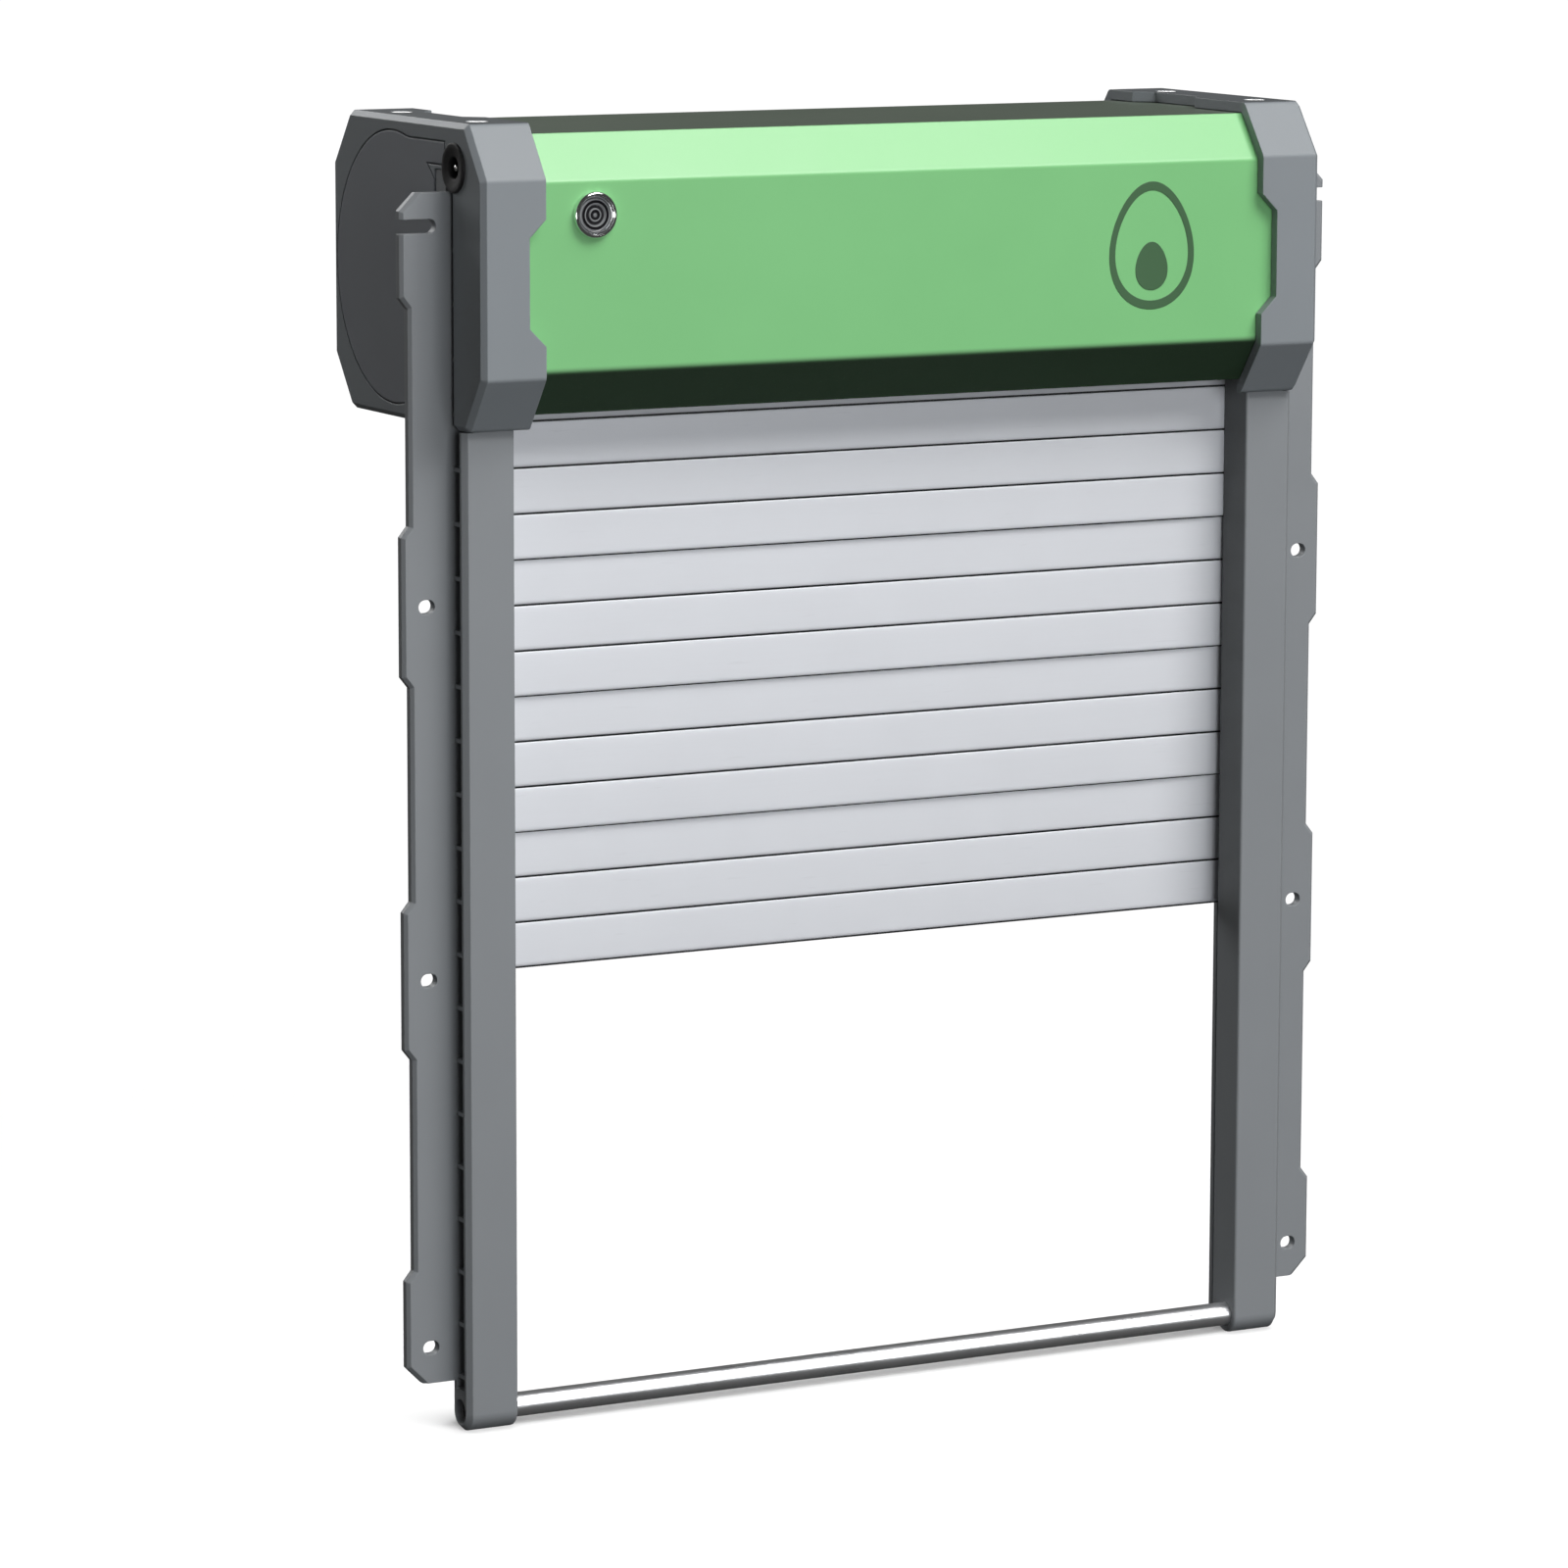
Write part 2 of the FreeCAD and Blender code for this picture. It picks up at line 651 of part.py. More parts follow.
def make_rail():
    """Make the right rail: ribbed front section, curtain channel behind it and fixing flange."""
    body = new_body("RailBody")
    section = new_sketch(body, "YZ_Plane", DOOR_EDGE)
    outline(section, rectangle((RAIL_FRONT, "0"), (WALL, RAIL_TOP)))
    feature(body, "Pad", section, "rail_width")
    round_foot = "rail_depth / 2 - 0.1"
    middle = f"{WALL} - rail_depth / 2"
    dress(body, "Fillet", lambda spot: near(spot.z, "0") and not near(spot.y, middle), round_foot)
    dress(body, "Chamfer",
          lambda spot: near(spot.x, RAIL_OUT) and near(spot.y, RAIL_FRONT), "rail_bevel")
    dress(body, "Fillet", at_corner((RAIL_FRONT, None), DOOR_EDGE), "rail_ease")
    pocket = new_sketch(body, "YZ_Plane", RAIL_OUT)
    outline(pocket, rectangle(
        (f"{RAIL_FRONT} + rail_plate", "rail_end_boss"), (f"{WALL} - flange_thick", f"{RAIL_TOP} + {PAST}")))
    feature(body, "Pocket", pocket, "rail_width - rail_web")
    rib = new_sketch(body, "XY_Plane", "rib_first")
    outline(rib, rectangle(
        (f"{DOOR_EDGE} + rail_web / 2", f"{RAIL_FRONT} + rail_plate / 2"),
        (f"{RAIL_OUT} - rib_recess", f"{WALL} - flange_thick / 2")))
    rib_pad = feature(body, "Pad", rib, "rib_thick")
    ribs = body.newObject("PartDesign::LinearPattern", "RailRibs")
    ribs.Originals = [rib_pad]
    upright = next(item for item in body.Origin.OriginFeatures if item.Role == "Z_Axis")
    ribs.Direction = (upright, [""])
    bind(ribs, Length=RIB_RUN, Occurrences="rib_count")
    body.Tip = ribs
    document.recompute()
    channel = new_sketch(body, "XY_Plane", "channel_foot")
    inside = CHANNEL_END
    lip_edge = f"{DOOR_EDGE} + back_lip_set"
    back = f"{CHANNEL_BACK} + channel_back"
    root = f"{WALL} - flange_thick / 2"
    outline(channel, [
        (DOOR_EDGE, root), (DOOR_EDGE, CHANNEL_FRONT), (inside, CHANNEL_FRONT),
        (inside, CHANNEL_BACK), (lip_edge, CHANNEL_BACK), (lip_edge, back),
        (f"{inside} + channel_side", back), (f"{inside} + channel_side", root),
    ])
    feature(body, "Pad", channel, f"{RAIL_TOP} - channel_foot")
    floor = new_sketch(body, "XY_Plane", "channel_foot")
    outline(floor, rectangle((lip_edge, root), (f"{inside} + channel_side", back)))
    feature(body, "Pad", floor, "channel_floor")
    flange = new_sketch(body, "XZ_Plane", f"-{WALL}")
    outline(flange, flange_outline())
    feature(body, "Pad", flange, "flange_thick")
    face = f"{WALL} - flange_thick"
    tab_side = number(f"(overall_width / 2 + {RAIL_OUT}) / 2 - tab_step")
    dress(body, "Chamfer", lambda spot: near(spot.y, face) and spot.x > tab_side, "flange_bevel")
    slots = new_sketch(body, "XZ_Plane", f"-{WALL} + flange_thick")
    for row in range(SLOT_ROWS - 1):
        draw_slot(slots, slot_height(row))
    feature(body, "Pocket", slots, "flange_thick")
    open_slot = new_sketch(body, "XZ_Plane", f"-{WALL} + flange_thick")
    top_slot = slot_height(SLOT_ROWS - 1)
    outline(open_slot, rectangle(
        (f"{SLOT_X} - slot_root", f"{top_slot} - slot_wide / 2"),
        (f"overall_width / 2 + {PAST}", f"{top_slot} + slot_wide / 2")))
    feature(body, "Pocket", open_slot, "flange_thick")
    slot_end = new_sketch(body, "XZ_Plane", f"-{WALL} + flange_thick")
    circle(slot_end, (f"{SLOT_X} - slot_root", top_slot), "slot_wide / 2")
    feature(body, "Pocket", slot_end, "flange_thick")
    hole_start = (f"{DOOR_EDGE} - {PAST}", f"{WALL} - rail_depth / 2", "tube_height")
    tube_hole = rod("x", hole_start, "tube_radius + tube_fit", f"rail_width + 2 * {PAST}")
    shoulder = box(
        (f"{CAP_OUT} - cap_wall - rail_fit", f"{CAP_OUT} + {PAST}"),
        (f"{RAIL_FRONT} - {PAST}", f"{WALL} - flange_slot_front + rail_fit"),
        (f"{UNDERSIDE} - rail_fit", f"{RAIL_TOP} + {PAST}"))
    key = box(
        (f"{CHANNEL_END} + channel_side / 2", f"{CAP_OUT} - rail_fit"),
        (WALL, f"{WALL} - flange_slot_front + flange_slot - rail_fit"),
        (f"{UNDERSIDE} - rail_fit", f"{TOP} - flange_slot_top - rail_fit"))
    return cut(fuse(body, key), tube_hole, shoulder)


def draw_slot(sketch, height):
    """Draw a short fixing slot that runs along X, as a rectangle with rounded ends."""
    half, radius = "(slot_long / 2 - slot_wide / 2)", "slot_wide / 2"
    left, right = f"{SLOT_X} - {half}", f"{SLOT_X} + {half}"
    x_low, x_high, z_mid, size = number(left), number(right), number(height), number(radius)
    first = sketch.GeometryCount
    ends = [Vector(x_low, z_mid + size, 0), Vector(x_low - size, z_mid, 0), Vector(x_low, z_mid - size, 0)]
    sketch.addGeometry(Part.Arc(*ends), False)
    sketch.addGeometry(Part.LineSegment(ends[2], Vector(x_high, z_mid - size, 0)), False)
    others = [
        Vector(x_high, z_mid - size, 0),
        Vector(x_high + size, z_mid, 0),
        Vector(x_high, z_mid + size, 0),
    ]
    sketch.addGeometry(Part.Arc(*others), False)
    sketch.addGeometry(Part.LineSegment(others[2], ends[0]), False)
    for index in range(4):
        sketch.addConstraint(Sketcher.Constraint("Tangent", first + index, 2, first + (index + 1) % 4, 1))
    pin_point(sketch, first, 3, (left, height))
    pin_point(sketch, first + 2, 3, (right, height))


def make_frame():
    """Make both rails and the tube that ties their feet together."""
    rail = make_rail()
    keep("rail_right", rail)
    keep("rail_left", mirrored(rail))
    half = f"({RAIL_OUT} - tube_recess)"
    start = (f"-{half}", f"{WALL} - rail_depth / 2", "tube_height")
    keep("threshold_tube", tube("x", start, "tube_radius", "tube_radius - tube_wall", f"2 * {half}"))


# ---------------------------------------------------------------- curtain

def slat_profile(front, low, tongue):
    """Return a slat's section in Y and Z: a front leaf, and a rear leaf that reaches up behind the next."""
    middle, back = f"{front} + slat_thick / 2", f"{front} + slat_thick"
    top = f"{low} + {SLAT_PITCH} - slat_joint"
    points = [
        (f"{front} + slat_edge", low),
        (front, f"{low} + slat_edge"),
        (front, f"{top} - slat_edge"),
        (f"{front} + slat_edge", top),
    ]
    if tongue:
        tip = f"{low} + {SLAT_PITCH} + slat_tongue"
        points += [(middle, top), (middle, tip), (back, tip)]
    else:
        points += [(back, top)]
    foot = f"{low} + slat_tongue + slat_play"
    return points + [(back, foot), (middle, foot), (middle, low)]


def section_front(section):
    """Return how far back the front of a curtain section is."""
    return f"({CHANNEL_FRONT} + section_gap + {section} * (slat_thick + section_gap))"


def make_curtain():
    """Make the slats in four sections, each one behind and below the section above it."""
    half = f"({CHANNEL_END} - slat_side_gap)"
    per_section = int(number("slats_per_section"))
    serial = 0
    for section in range(SECTIONS):
        front = section_front(section)
        low = f"({CURTAIN_LOW} + {SECTIONS - 1 - section} * slats_shown * {SLAT_PITCH})"
        for step in reversed(range(per_section)):
            serial += 1
            body = new_body(f"SlatBody{serial}")
            profile = new_sketch(body, "YZ_Plane", f"-{half}")
            outline(profile, slat_profile(front, f"({low} + {step} * {SLAT_PITCH})", step < per_section - 1))
            feature(body, "Pad", profile, f"2 * {half}")
            keep(f"slat_{serial:02d}", body)
    last_front = section_front(SECTIONS - 1)
    keep("bottom_seal", box(
        (f"-{half}", half),
        (f"{last_front} + slat_thick / 2", f"{last_front} + slat_thick"),
        (f"{CURTAIN_LOW} - seal_drop", f"{CURTAIN_LOW} + seal_height")))


# ---------------------------------------------------------------- roller and drive

def on_axle(x):
    """Return a point on the roller's axis."""
    return (x, AXLE_Y, AXLE_Z)


def make_roller():
    """Make the roller tube with the geared motor inside its left end and a stub axle at its right."""
    end, inner = ROLLER_END, ROLLER_BORE
    inside = f"({CAP_OUT} - cap_wall)"
    keep("roller_tube", tube("x", on_axle(f"-{end}"), "roller_radius", inner, f"2 * {end}"))
    plate = rod("x", on_axle(f"-{inside}"), "mount_radius", "mount_thick")
    reach = f"({inside} - {end} + sleeve_long)"
    sleeve = rod("x", on_axle(f"-{inside}"), SLEEVE_RADIUS, reach)
    bore = rod("x", on_axle(f"-{inside} + mount_thick"), SLEEVE_BORE, reach)
    keep("motor_mount", cut(fuse(plate, sleeve), bore))
    motor_start = f"(-{inside} + mount_thick + motor_gap)"
    keep("motor_can", rod("x", on_axle(motor_start), MOTOR_RADIUS, "motor_long"))
    gearbox_start = f"({motor_start} + motor_long)"
    keep("gearbox", rod("x", on_axle(gearbox_start), MOTOR_RADIUS, "gearbox_long"))
    shaft_start = f"({gearbox_start} + gearbox_long + shaft_gap)"
    flat = box((shaft_start, f"{shaft_start} + shaft_long"),
               (f"{AXLE_Y} - {inner}", f"{AXLE_Y} + {inner}"),
               (f"{AXLE_Z} + shaft_flat", f"{AXLE_Z} + {inner}"))
    shaft = cut(rod("x", on_axle(shaft_start), "shaft_radius", "shaft_long"), flat)
    keep("output_shaft", shaft)
    hub_start = f"({shaft_start} + shaft_long - hub_long)"
    keep("drive_hub", cut(rod("x", on_axle(hub_start), inner, "hub_long"), shaft))
    bearing = tube("x", on_axle(f"-{end}"), inner, f"{SLEEVE_RADIUS} + running_gap", "bearing_long")
    keep("drive_bearing", bearing)
    plug = rod("x", on_axle(f"{end} - hub_long"), inner, "hub_long")
    stub = rod("x", on_axle(f"{end} - stub_root"), "stub_radius", "stub_long")
    keep("idler_hub", fuse(plug, stub))
    bush_start = f"({inside} - bush_long)"
    bush = tube("x", on_axle(bush_start), "bush_radius", "stub_radius + running_gap", "bush_long")
    keep("idler_bush", bush)
    keep("idler_holder", tube("x", on_axle(bush_start), "mount_radius", "bush_radius", "bush_long"))


# ---------------------------------------------------------------- electronics

def sensor_place():
    """Return the light sensor's place in X and Z."""
    return (f"(-{CAP_OUT} + sensor_inset)", f"({UNDERSIDE} + sensor_up)")


def board_holes():
    """Return the four board screw places in X and Z."""
    left, right = "-board_left + board_inset", "-board_left + board_long - board_inset"
    low = f"{UNDERSIDE} + board_low + board_inset"
    high = f"{UNDERSIDE} + board_low + board_tall - board_inset"
    return [(left, low), (right, low), (left, high), (right, high)]


def make_electronics():
    """Make the light sensor, the power socket, the board and what it carries."""
    face = f"({FRONT} + {COVER_SET})"
    inner_face = f"({face} + cover_wall)"
    across, up = sensor_place()

    def on_sensor(y):
        return (across, y, up)

    rim_front = on_sensor(f"{face} - bezel_proud")
    rim = cut(rod("y", rim_front, "bezel_radius", "bezel_proud"),
              cone("y", rim_front, "lens_radius + lens_slope", "lens_radius", "bezel_proud"))
    barrel = tube("y", on_sensor(face), "barrel_radius", "lens_radius", "barrel_long")
    keep("sensor_bezel", fuse(rim, barrel))
    keep("sensor_lens", rod("y", on_sensor(f"{face} - lens_proud"), "lens_radius", "lens_thick"))
    cell_start = on_sensor(f"{face} - lens_proud + lens_thick")
    keep("light_cell", rod("y", cell_start, "lens_radius - cell_rim", "cell_long"))
    keep("sensor_nut", tube("y", on_sensor(inner_face), "bezel_radius", "barrel_radius", "nut_thick"))
    board_face = f"({inner_face} + board_stand)"
    board = box(("-board_left", "-board_left + board_long"),
                (board_face, f"{board_face} + board_thick"),
                (f"{UNDERSIDE} + board_low", f"{UNDERSIDE} + board_low + board_tall"))
    holes = [rod("y", (x, board_face, z), "screw_shank + shank_gap", "board_thick") for x, z in board_holes()]
    keep("circuit_board", cut(board, *holes))
    back = f"({board_face} + board_thick)"
    keep("board_screws", grouped([board_screw(x, z, back) for x, z in board_holes()]))
    relay_starts = ("relay_start", "relay_start + relay_step")
    relays = [
        on_board(back, start, "relay_low", "relay_long", "relay_deep", "relay_tall")
        for start in relay_starts
    ]
    keep("motor_relays", grouped(relays))
    keep("controller_chip", on_board(back, "chip_start", "chip_low", "chip_side", "chip_thick", "chip_side"))
    keep("terminal_block", on_board(back, "terminal_start", "terminal_low", "terminal_long",
                                    "terminal_deep", "terminal_tall"))
    foot = ("-board_left + capacitor_start", back, f"{UNDERSIDE} + board_low + capacitor_low")
    keep("capacitor", rod("y", foot, "capacitor_radius", "capacitor_long"))
    make_power_socket()


def on_board(back, start, low, long, deep, tall):
    """Make a box-shaped component on the back of the board, placed from the board's lower left corner."""
    left, foot = f"(-board_left + {start})", f"({UNDERSIDE} + board_low + {low})"
    return box((left, f"{left} + {long}"), (back, f"{back} + {deep}"), (foot, f"{foot} + {tall}"))


def make_power_socket():
    """Make the round power socket in the left cap, its pin and its nut."""
    outside = f"(-{CAP_OUT})"
    flange = rod("x", socket_place(f"{outside} - socket_proud"), "socket_flange", "socket_proud")
    neck = rod("x", socket_place(outside), "socket_radius", "socket_long")
    bore_long = "socket_long + socket_proud - socket_floor"
    bore = rod("x", socket_place(f"{outside} - socket_proud"), "socket_bore", bore_long)
    keep("power_socket", cut(fuse(flange, neck), bore))
    pin_start = f"({outside} - socket_proud + pin_sunk)"
    pin_long = "socket_long - socket_floor + socket_proud - pin_sunk"
    keep("socket_pin", rod("x", socket_place(pin_start), "pin_radius", pin_long))
    nut_start = socket_place(f"{outside} + cap_wall")
    keep("socket_nut", tube("x", nut_start, "socket_flange - 1", "socket_radius", "nut_thick"))


def board_screw(x, z, back):
    """Make one pan-head screw through the board into its post."""
    long = "(board_thick + board_stand - thread_rest)"
    head = rod("y", (x, back, z), "pan_radius", "pan_tall")
    shank = rod("y", (x, f"{back} - {long}", z), "screw_shank", long)
    slot = box((f"{x} - pan_slot_long / 2", f"{x} + pan_slot_long / 2"),
               (f"{back} + pan_tall - pan_slot", f"{back} + pan_tall + {PAST}"),
               (f"{z} - pan_slot / 2", f"{z} + pan_slot / 2"))
    return cut(fuse(head, shank), slot)


def make_cap_screws():
    """Make the four cross-head screws that hold the end caps to the rear cover."""
    seat = f"({TOP} - screw_head_tall - screw_sink)"
    screws = []
    for across in (f"-{SCREW_ACROSS}", SCREW_ACROSS):
        for screw_y in SCREW_PLACES:
            head = rod("z", (across, screw_y, seat), "screw_head", "screw_head_tall")
            foot = (across, screw_y, f"{seat} + screw_head_tall - screw_long")
            shank = rod("z", foot, "screw_shank", "screw_long - screw_head_tall")
            top = f"{seat} + screw_head_tall"
            deep = (f"{top} - cross_deep", f"{top} + {PAST}")
            arms = []
            for long, wide in (("cross_long", "cross_wide"), ("cross_wide", "cross_long")):
                arms.append(box((f"{across} - {long} / 2", f"{across} + {long} / 2"),
                                (f"{screw_y} - {wide} / 2", f"{screw_y} + {wide} / 2"), deep))
            screws.append(cut(fuse(head, shank), fuse(*arms)))
    keep("cap_screws", grouped(screws))


# ---------------------------------------------------------------- checks and files

def check_and_export():
    """Check every object and write one STEP file for each piece."""
    document.recompute()
    failed = [item.Name for item in document.Objects if {"Invalid", "Error"} & set(item.State)]
    if failed:
        raise ValueError("failed objects: " + ", ".join(failed))
    for piece in parts:
        if piece.Shape.isNull() or not piece.Shape.isValid():
            raise ValueError("bad shape: " + piece.Label)
    os.makedirs("parts", exist_ok=True)
    for piece in parts:
        piece.Shape.exportStep(os.path.join("parts", piece.Label + ".step"))
        print(f"{piece.Label:18s} {len(piece.Shape.Solids)} solid(s) {piece.Shape.Volume:10.1f} mm3")


fill_sheet()
make_head()
make_frame()
make_curtain()
make_roller()
make_electronics()
make_cap_screws()
check_and_export()
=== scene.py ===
"""Automatic coop door: finishes, fine pieces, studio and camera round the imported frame.

Everything is in metres. X runs across the doorway, +Y runs from the front of the door into the
coop, and +Z is up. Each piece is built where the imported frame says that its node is.
"""
import json
import logging
import math
from dataclasses import dataclass, field
from enum import Enum
from typing import Callable, Iterable, Sequence

import bmesh
import bpy
from mathutils import Matrix, Vector

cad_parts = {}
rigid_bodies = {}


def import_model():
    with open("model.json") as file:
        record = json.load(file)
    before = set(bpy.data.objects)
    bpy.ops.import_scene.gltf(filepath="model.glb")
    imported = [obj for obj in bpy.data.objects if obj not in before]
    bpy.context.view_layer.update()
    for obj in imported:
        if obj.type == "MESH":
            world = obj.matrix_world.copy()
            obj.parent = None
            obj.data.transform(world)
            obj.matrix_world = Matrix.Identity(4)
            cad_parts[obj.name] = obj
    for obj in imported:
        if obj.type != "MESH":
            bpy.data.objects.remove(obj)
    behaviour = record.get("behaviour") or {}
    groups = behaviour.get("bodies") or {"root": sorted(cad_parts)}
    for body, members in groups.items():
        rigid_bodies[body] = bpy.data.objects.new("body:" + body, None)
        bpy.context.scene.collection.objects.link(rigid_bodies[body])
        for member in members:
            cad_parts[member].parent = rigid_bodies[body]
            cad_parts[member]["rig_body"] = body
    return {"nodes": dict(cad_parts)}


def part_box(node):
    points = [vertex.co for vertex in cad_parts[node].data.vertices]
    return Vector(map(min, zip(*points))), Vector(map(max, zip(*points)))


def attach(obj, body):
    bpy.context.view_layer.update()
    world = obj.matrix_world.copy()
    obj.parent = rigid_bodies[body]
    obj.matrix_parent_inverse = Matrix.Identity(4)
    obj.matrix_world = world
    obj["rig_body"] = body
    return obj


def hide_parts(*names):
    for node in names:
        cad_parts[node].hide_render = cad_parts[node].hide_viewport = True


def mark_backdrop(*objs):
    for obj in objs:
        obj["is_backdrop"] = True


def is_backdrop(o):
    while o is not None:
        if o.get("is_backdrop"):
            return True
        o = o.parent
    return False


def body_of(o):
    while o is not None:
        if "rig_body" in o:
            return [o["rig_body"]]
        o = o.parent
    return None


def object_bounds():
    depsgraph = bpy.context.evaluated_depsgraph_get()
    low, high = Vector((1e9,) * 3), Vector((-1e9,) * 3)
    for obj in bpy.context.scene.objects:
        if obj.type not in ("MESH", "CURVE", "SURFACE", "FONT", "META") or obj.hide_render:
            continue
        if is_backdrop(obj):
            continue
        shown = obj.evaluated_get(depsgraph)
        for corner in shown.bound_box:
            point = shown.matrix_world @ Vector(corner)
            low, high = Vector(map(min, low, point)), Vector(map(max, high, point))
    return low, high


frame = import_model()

log = logging.getLogger("coop_door")

Colour = tuple[float, float, float]
Point2 = tuple[float, float]
Point3 = tuple[float, float, float]
Loop = list[bmesh.types.BMVert]
Shape = bmesh.types.BMesh
Piece = bpy.types.Object
Material = bpy.types.Material

MAIN_BODY = "frame"
SMOOTH_ANGLE = 32.0
WELD = 1e-7
WHITE_GLOW = 1.05


class Axis(Enum):
    """A direction that a turned or drawn piece runs along."""

    X = 0
    Y = 1
    Z = 2

    def basis(self) -> tuple[Vector, Vector, Vector]:
        """Return the along direction and the two directions across it."""
        units = [Vector((1, 0, 0)), Vector((0, 1, 0)), Vector((0, 0, 1))]
        return tuple(units[(self.value + step) % 3] for step in range(3))


class Slot(Enum):
    """Material slot names as the record gives them, passed along with each finer piece."""

    GREEN = "green_cover"
    STEEL = "polished_steel"
    SLAT = "slat_aluminium"
    RUBBER = "seal_rubber"
    ROLLER = "roller_aluminium"
    MOTOR = "motor_steel"
    BLACK = "black_plastic"
    CHROME = "bezel_chrome"
    LENS = "lens_dark"
    SCREW = "screw_steel"
    TERMINAL = "terminal_plastic"
    BRASS = "pin_brass"


# ---- shader graphs

def arithmetic(operation: str, swapped: bool = False) -> Callable[["Wire", "Wire | float"], "Wire"]:
    """Return a method that joins a wire and another value by a Math node, swapped if asked."""
    def method(wire: "Wire", other: "Wire | float") -> "Wire":
        """Add the Math node."""
        sides = {0: other, 1: wire} if swapped else {0: wire, 1: other}
        return wire.graph.node("ShaderNodeMath", {"operation": operation}, sides)
    return method


class Wire:
    """A shader socket that takes part in Python arithmetic."""

    __add__, __radd__ = arithmetic("ADD"), arithmetic("ADD", swapped=True)
    __sub__, __rsub__ = arithmetic("SUBTRACT"), arithmetic("SUBTRACT", swapped=True)
    __mul__ = arithmetic("MULTIPLY")

    def __init__(self, graph: "Graph", socket: bpy.types.NodeSocket) -> None:
        """Hold a socket and the graph that it belongs to."""
        self.graph = graph
        self.socket = socket

    def above(self, low: float, high: float) -> "Wire":
        """Return a soft step from 0 at low to 1 at high."""
        return self.graph.node("ShaderNodeMapRange", {"interpolation_type": "SMOOTHSTEP"},
                               {"Value": self, "From Min": low, "From Max": high})

    def swing(self, amount: float) -> "Wire":
        """Return a value from 0 to 1 as a swing about zero, of the given whole width."""
        return (self - 0.5) * amount


class Graph:
    """A material under construction."""

    def __init__(self, name: str) -> None:
        """Start an empty node material."""
        self.material = bpy.data.materials.new(name)
        self.material.use_nodes = True
        self.tree = self.material.node_tree
        self.tree.nodes.clear()
        self.place = self.node("ShaderNodeTexCoord", output="Object")

    def node(self, kind: str, settings: dict | None = None, inputs: dict | None = None,
             output: int | str = 0) -> Wire:
        """Add a node.

        Args:
            kind: the node's type name.
            settings: its properties, set first.
            inputs: values or wires for its sockets, by name or index.
            output: the socket to return.

        Returns:
            The chosen output.
        """
        made = self.tree.nodes.new(kind)
        for name, value in (settings or {}).items():
            setattr(made, name, value)
        for name, value in (inputs or {}).items():
            socket = made.inputs[name]
            if isinstance(value, Wire):
                self.tree.links.new(value.socket, socket)
            else:
                socket.default_value = value
        return Wire(self, made.outputs[output])

    def vector(self, operation: str, *sides: Wire | Sequence[float], output: int | str = 0) -> Wire:
        """Return the result of a Vector Math node."""
        return self.node("ShaderNodeVectorMath", {"operation": operation}, dict(enumerate(sides)), output)

    def rounded(self, radius: float) -> Wire:
        """Return the normal with corners rounded to a radius."""
        return self.node("ShaderNodeBevel", {"samples": 4}, {"Radius": radius})

    def glow(self, strength: float) -> Wire:
        """Return a white emission shader."""
        return self.node("ShaderNodeEmission", inputs={"Strength": strength})

    def stretched(self, along: Axis, ratio: float) -> Wire:
        """Return the place with one axis shortened, so that a texture runs along it."""
        scale = [1.0, 1.0, 1.0]
        scale[along.value] = ratio
        return self.vector("MULTIPLY", self.place, scale)

    def height(self, axis: Axis) -> Wire:
        """Return one coordinate of the place."""
        return self.node("ShaderNodeSeparateXYZ", inputs={0: self.place}, output=axis.value)

    def noise(self, size: float, detail: float = 2.0, at: Wire | None = None) -> Wire:
        """Return a noise value whose features are about the given size in metres."""
        inputs = {"Vector": at or self.place, "Scale": 1 / size, "Detail": detail, "Roughness": 0.55}
        return self.node("ShaderNodeTexNoise", inputs=inputs)

    def facing(self, way: Wire | Sequence[float]) -> Wire:
        """Return how squarely the surface faces a direction, from -1 to 1."""
        normal = self.node("ShaderNodeNewGeometry", output="Normal")
        return self.vector("DOT_PRODUCT", normal, way, output="Value")

    def edges(self, radius: float) -> Wire:
        """Return a mask that is 1 on corners tighter than the radius."""
        return (1 - self.facing(self.rounded(radius))).above(0.005, 0.12)

    def blend(self, share: Wire | float, first: Wire | Colour, second: Wire | Colour) -> Wire:
        """Mix two colours by a share from 0 to 1."""
        sides = [side if isinstance(side, Wire) else (*side, 1) for side in (first, second)]
        inputs = {0: share, 6: sides[0], 7: sides[1]}
        return self.node("ShaderNodeMix", {"data_type": "RGBA"}, inputs, output=2)

    def vary(self, share: Wire, colour: Colour, amount: float) -> Wire:
        """Return a colour that a share from 0 to 1 makes darker or lighter by an amount."""
        return self.blend(share, shade(colour, 1 - amount), shade(colour, 1 + amount))

    def bump(self, relief: Wire, depth: float, eased: float = 0.0) -> Wire:
        """Return a normal for a relief of the given depth in metres, on corners eased by a radius."""
        inputs = {"Height": relief, "Distance": depth, "Strength": 1.0}
        if eased:
            inputs["Normal"] = self.rounded(eased)
        return self.node("ShaderNodeBump", inputs=inputs)

    def finish(self, **inputs: Wire | float | Colour) -> Material:
        """Close the graph with a Principled shader.

        Args:
            inputs: socket values, with underscores for the spaces in their names.

        Returns:
            The finished material.
        """
        named = {name.replace("_", " "): (*value, 1) if isinstance(value, tuple) else value
                 for name, value in inputs.items()}
        return self.close(self.node("ShaderNodeBsdfPrincipled", inputs=named))

    def close(self, shader: Wire) -> Material:
        """Link a shader to the material's output and return the material."""
        out = self.tree.nodes.new("ShaderNodeOutputMaterial")
        self.tree.links.new(shader.socket, out.inputs["Surface"])
        return self.material


def tone(red: int, green: int, blue: int) -> Colour:
    """Return a linear colour from display values of 0 to 255."""
    def linear(value: int) -> float:
        """Undo the display curve of one value."""
        share = value / 255
        return share / 12.92 if share <= 0.04045 else ((share + 0.055) / 1.055) ** 2.4
    return (linear(red), linear(green), linear(blue))


def shade(colour: Colour, factor: float) -> Colour:
    """Return a colour made darker or lighter."""
    return tuple(min(1.0, part * factor) for part in colour)


# ---- finishes

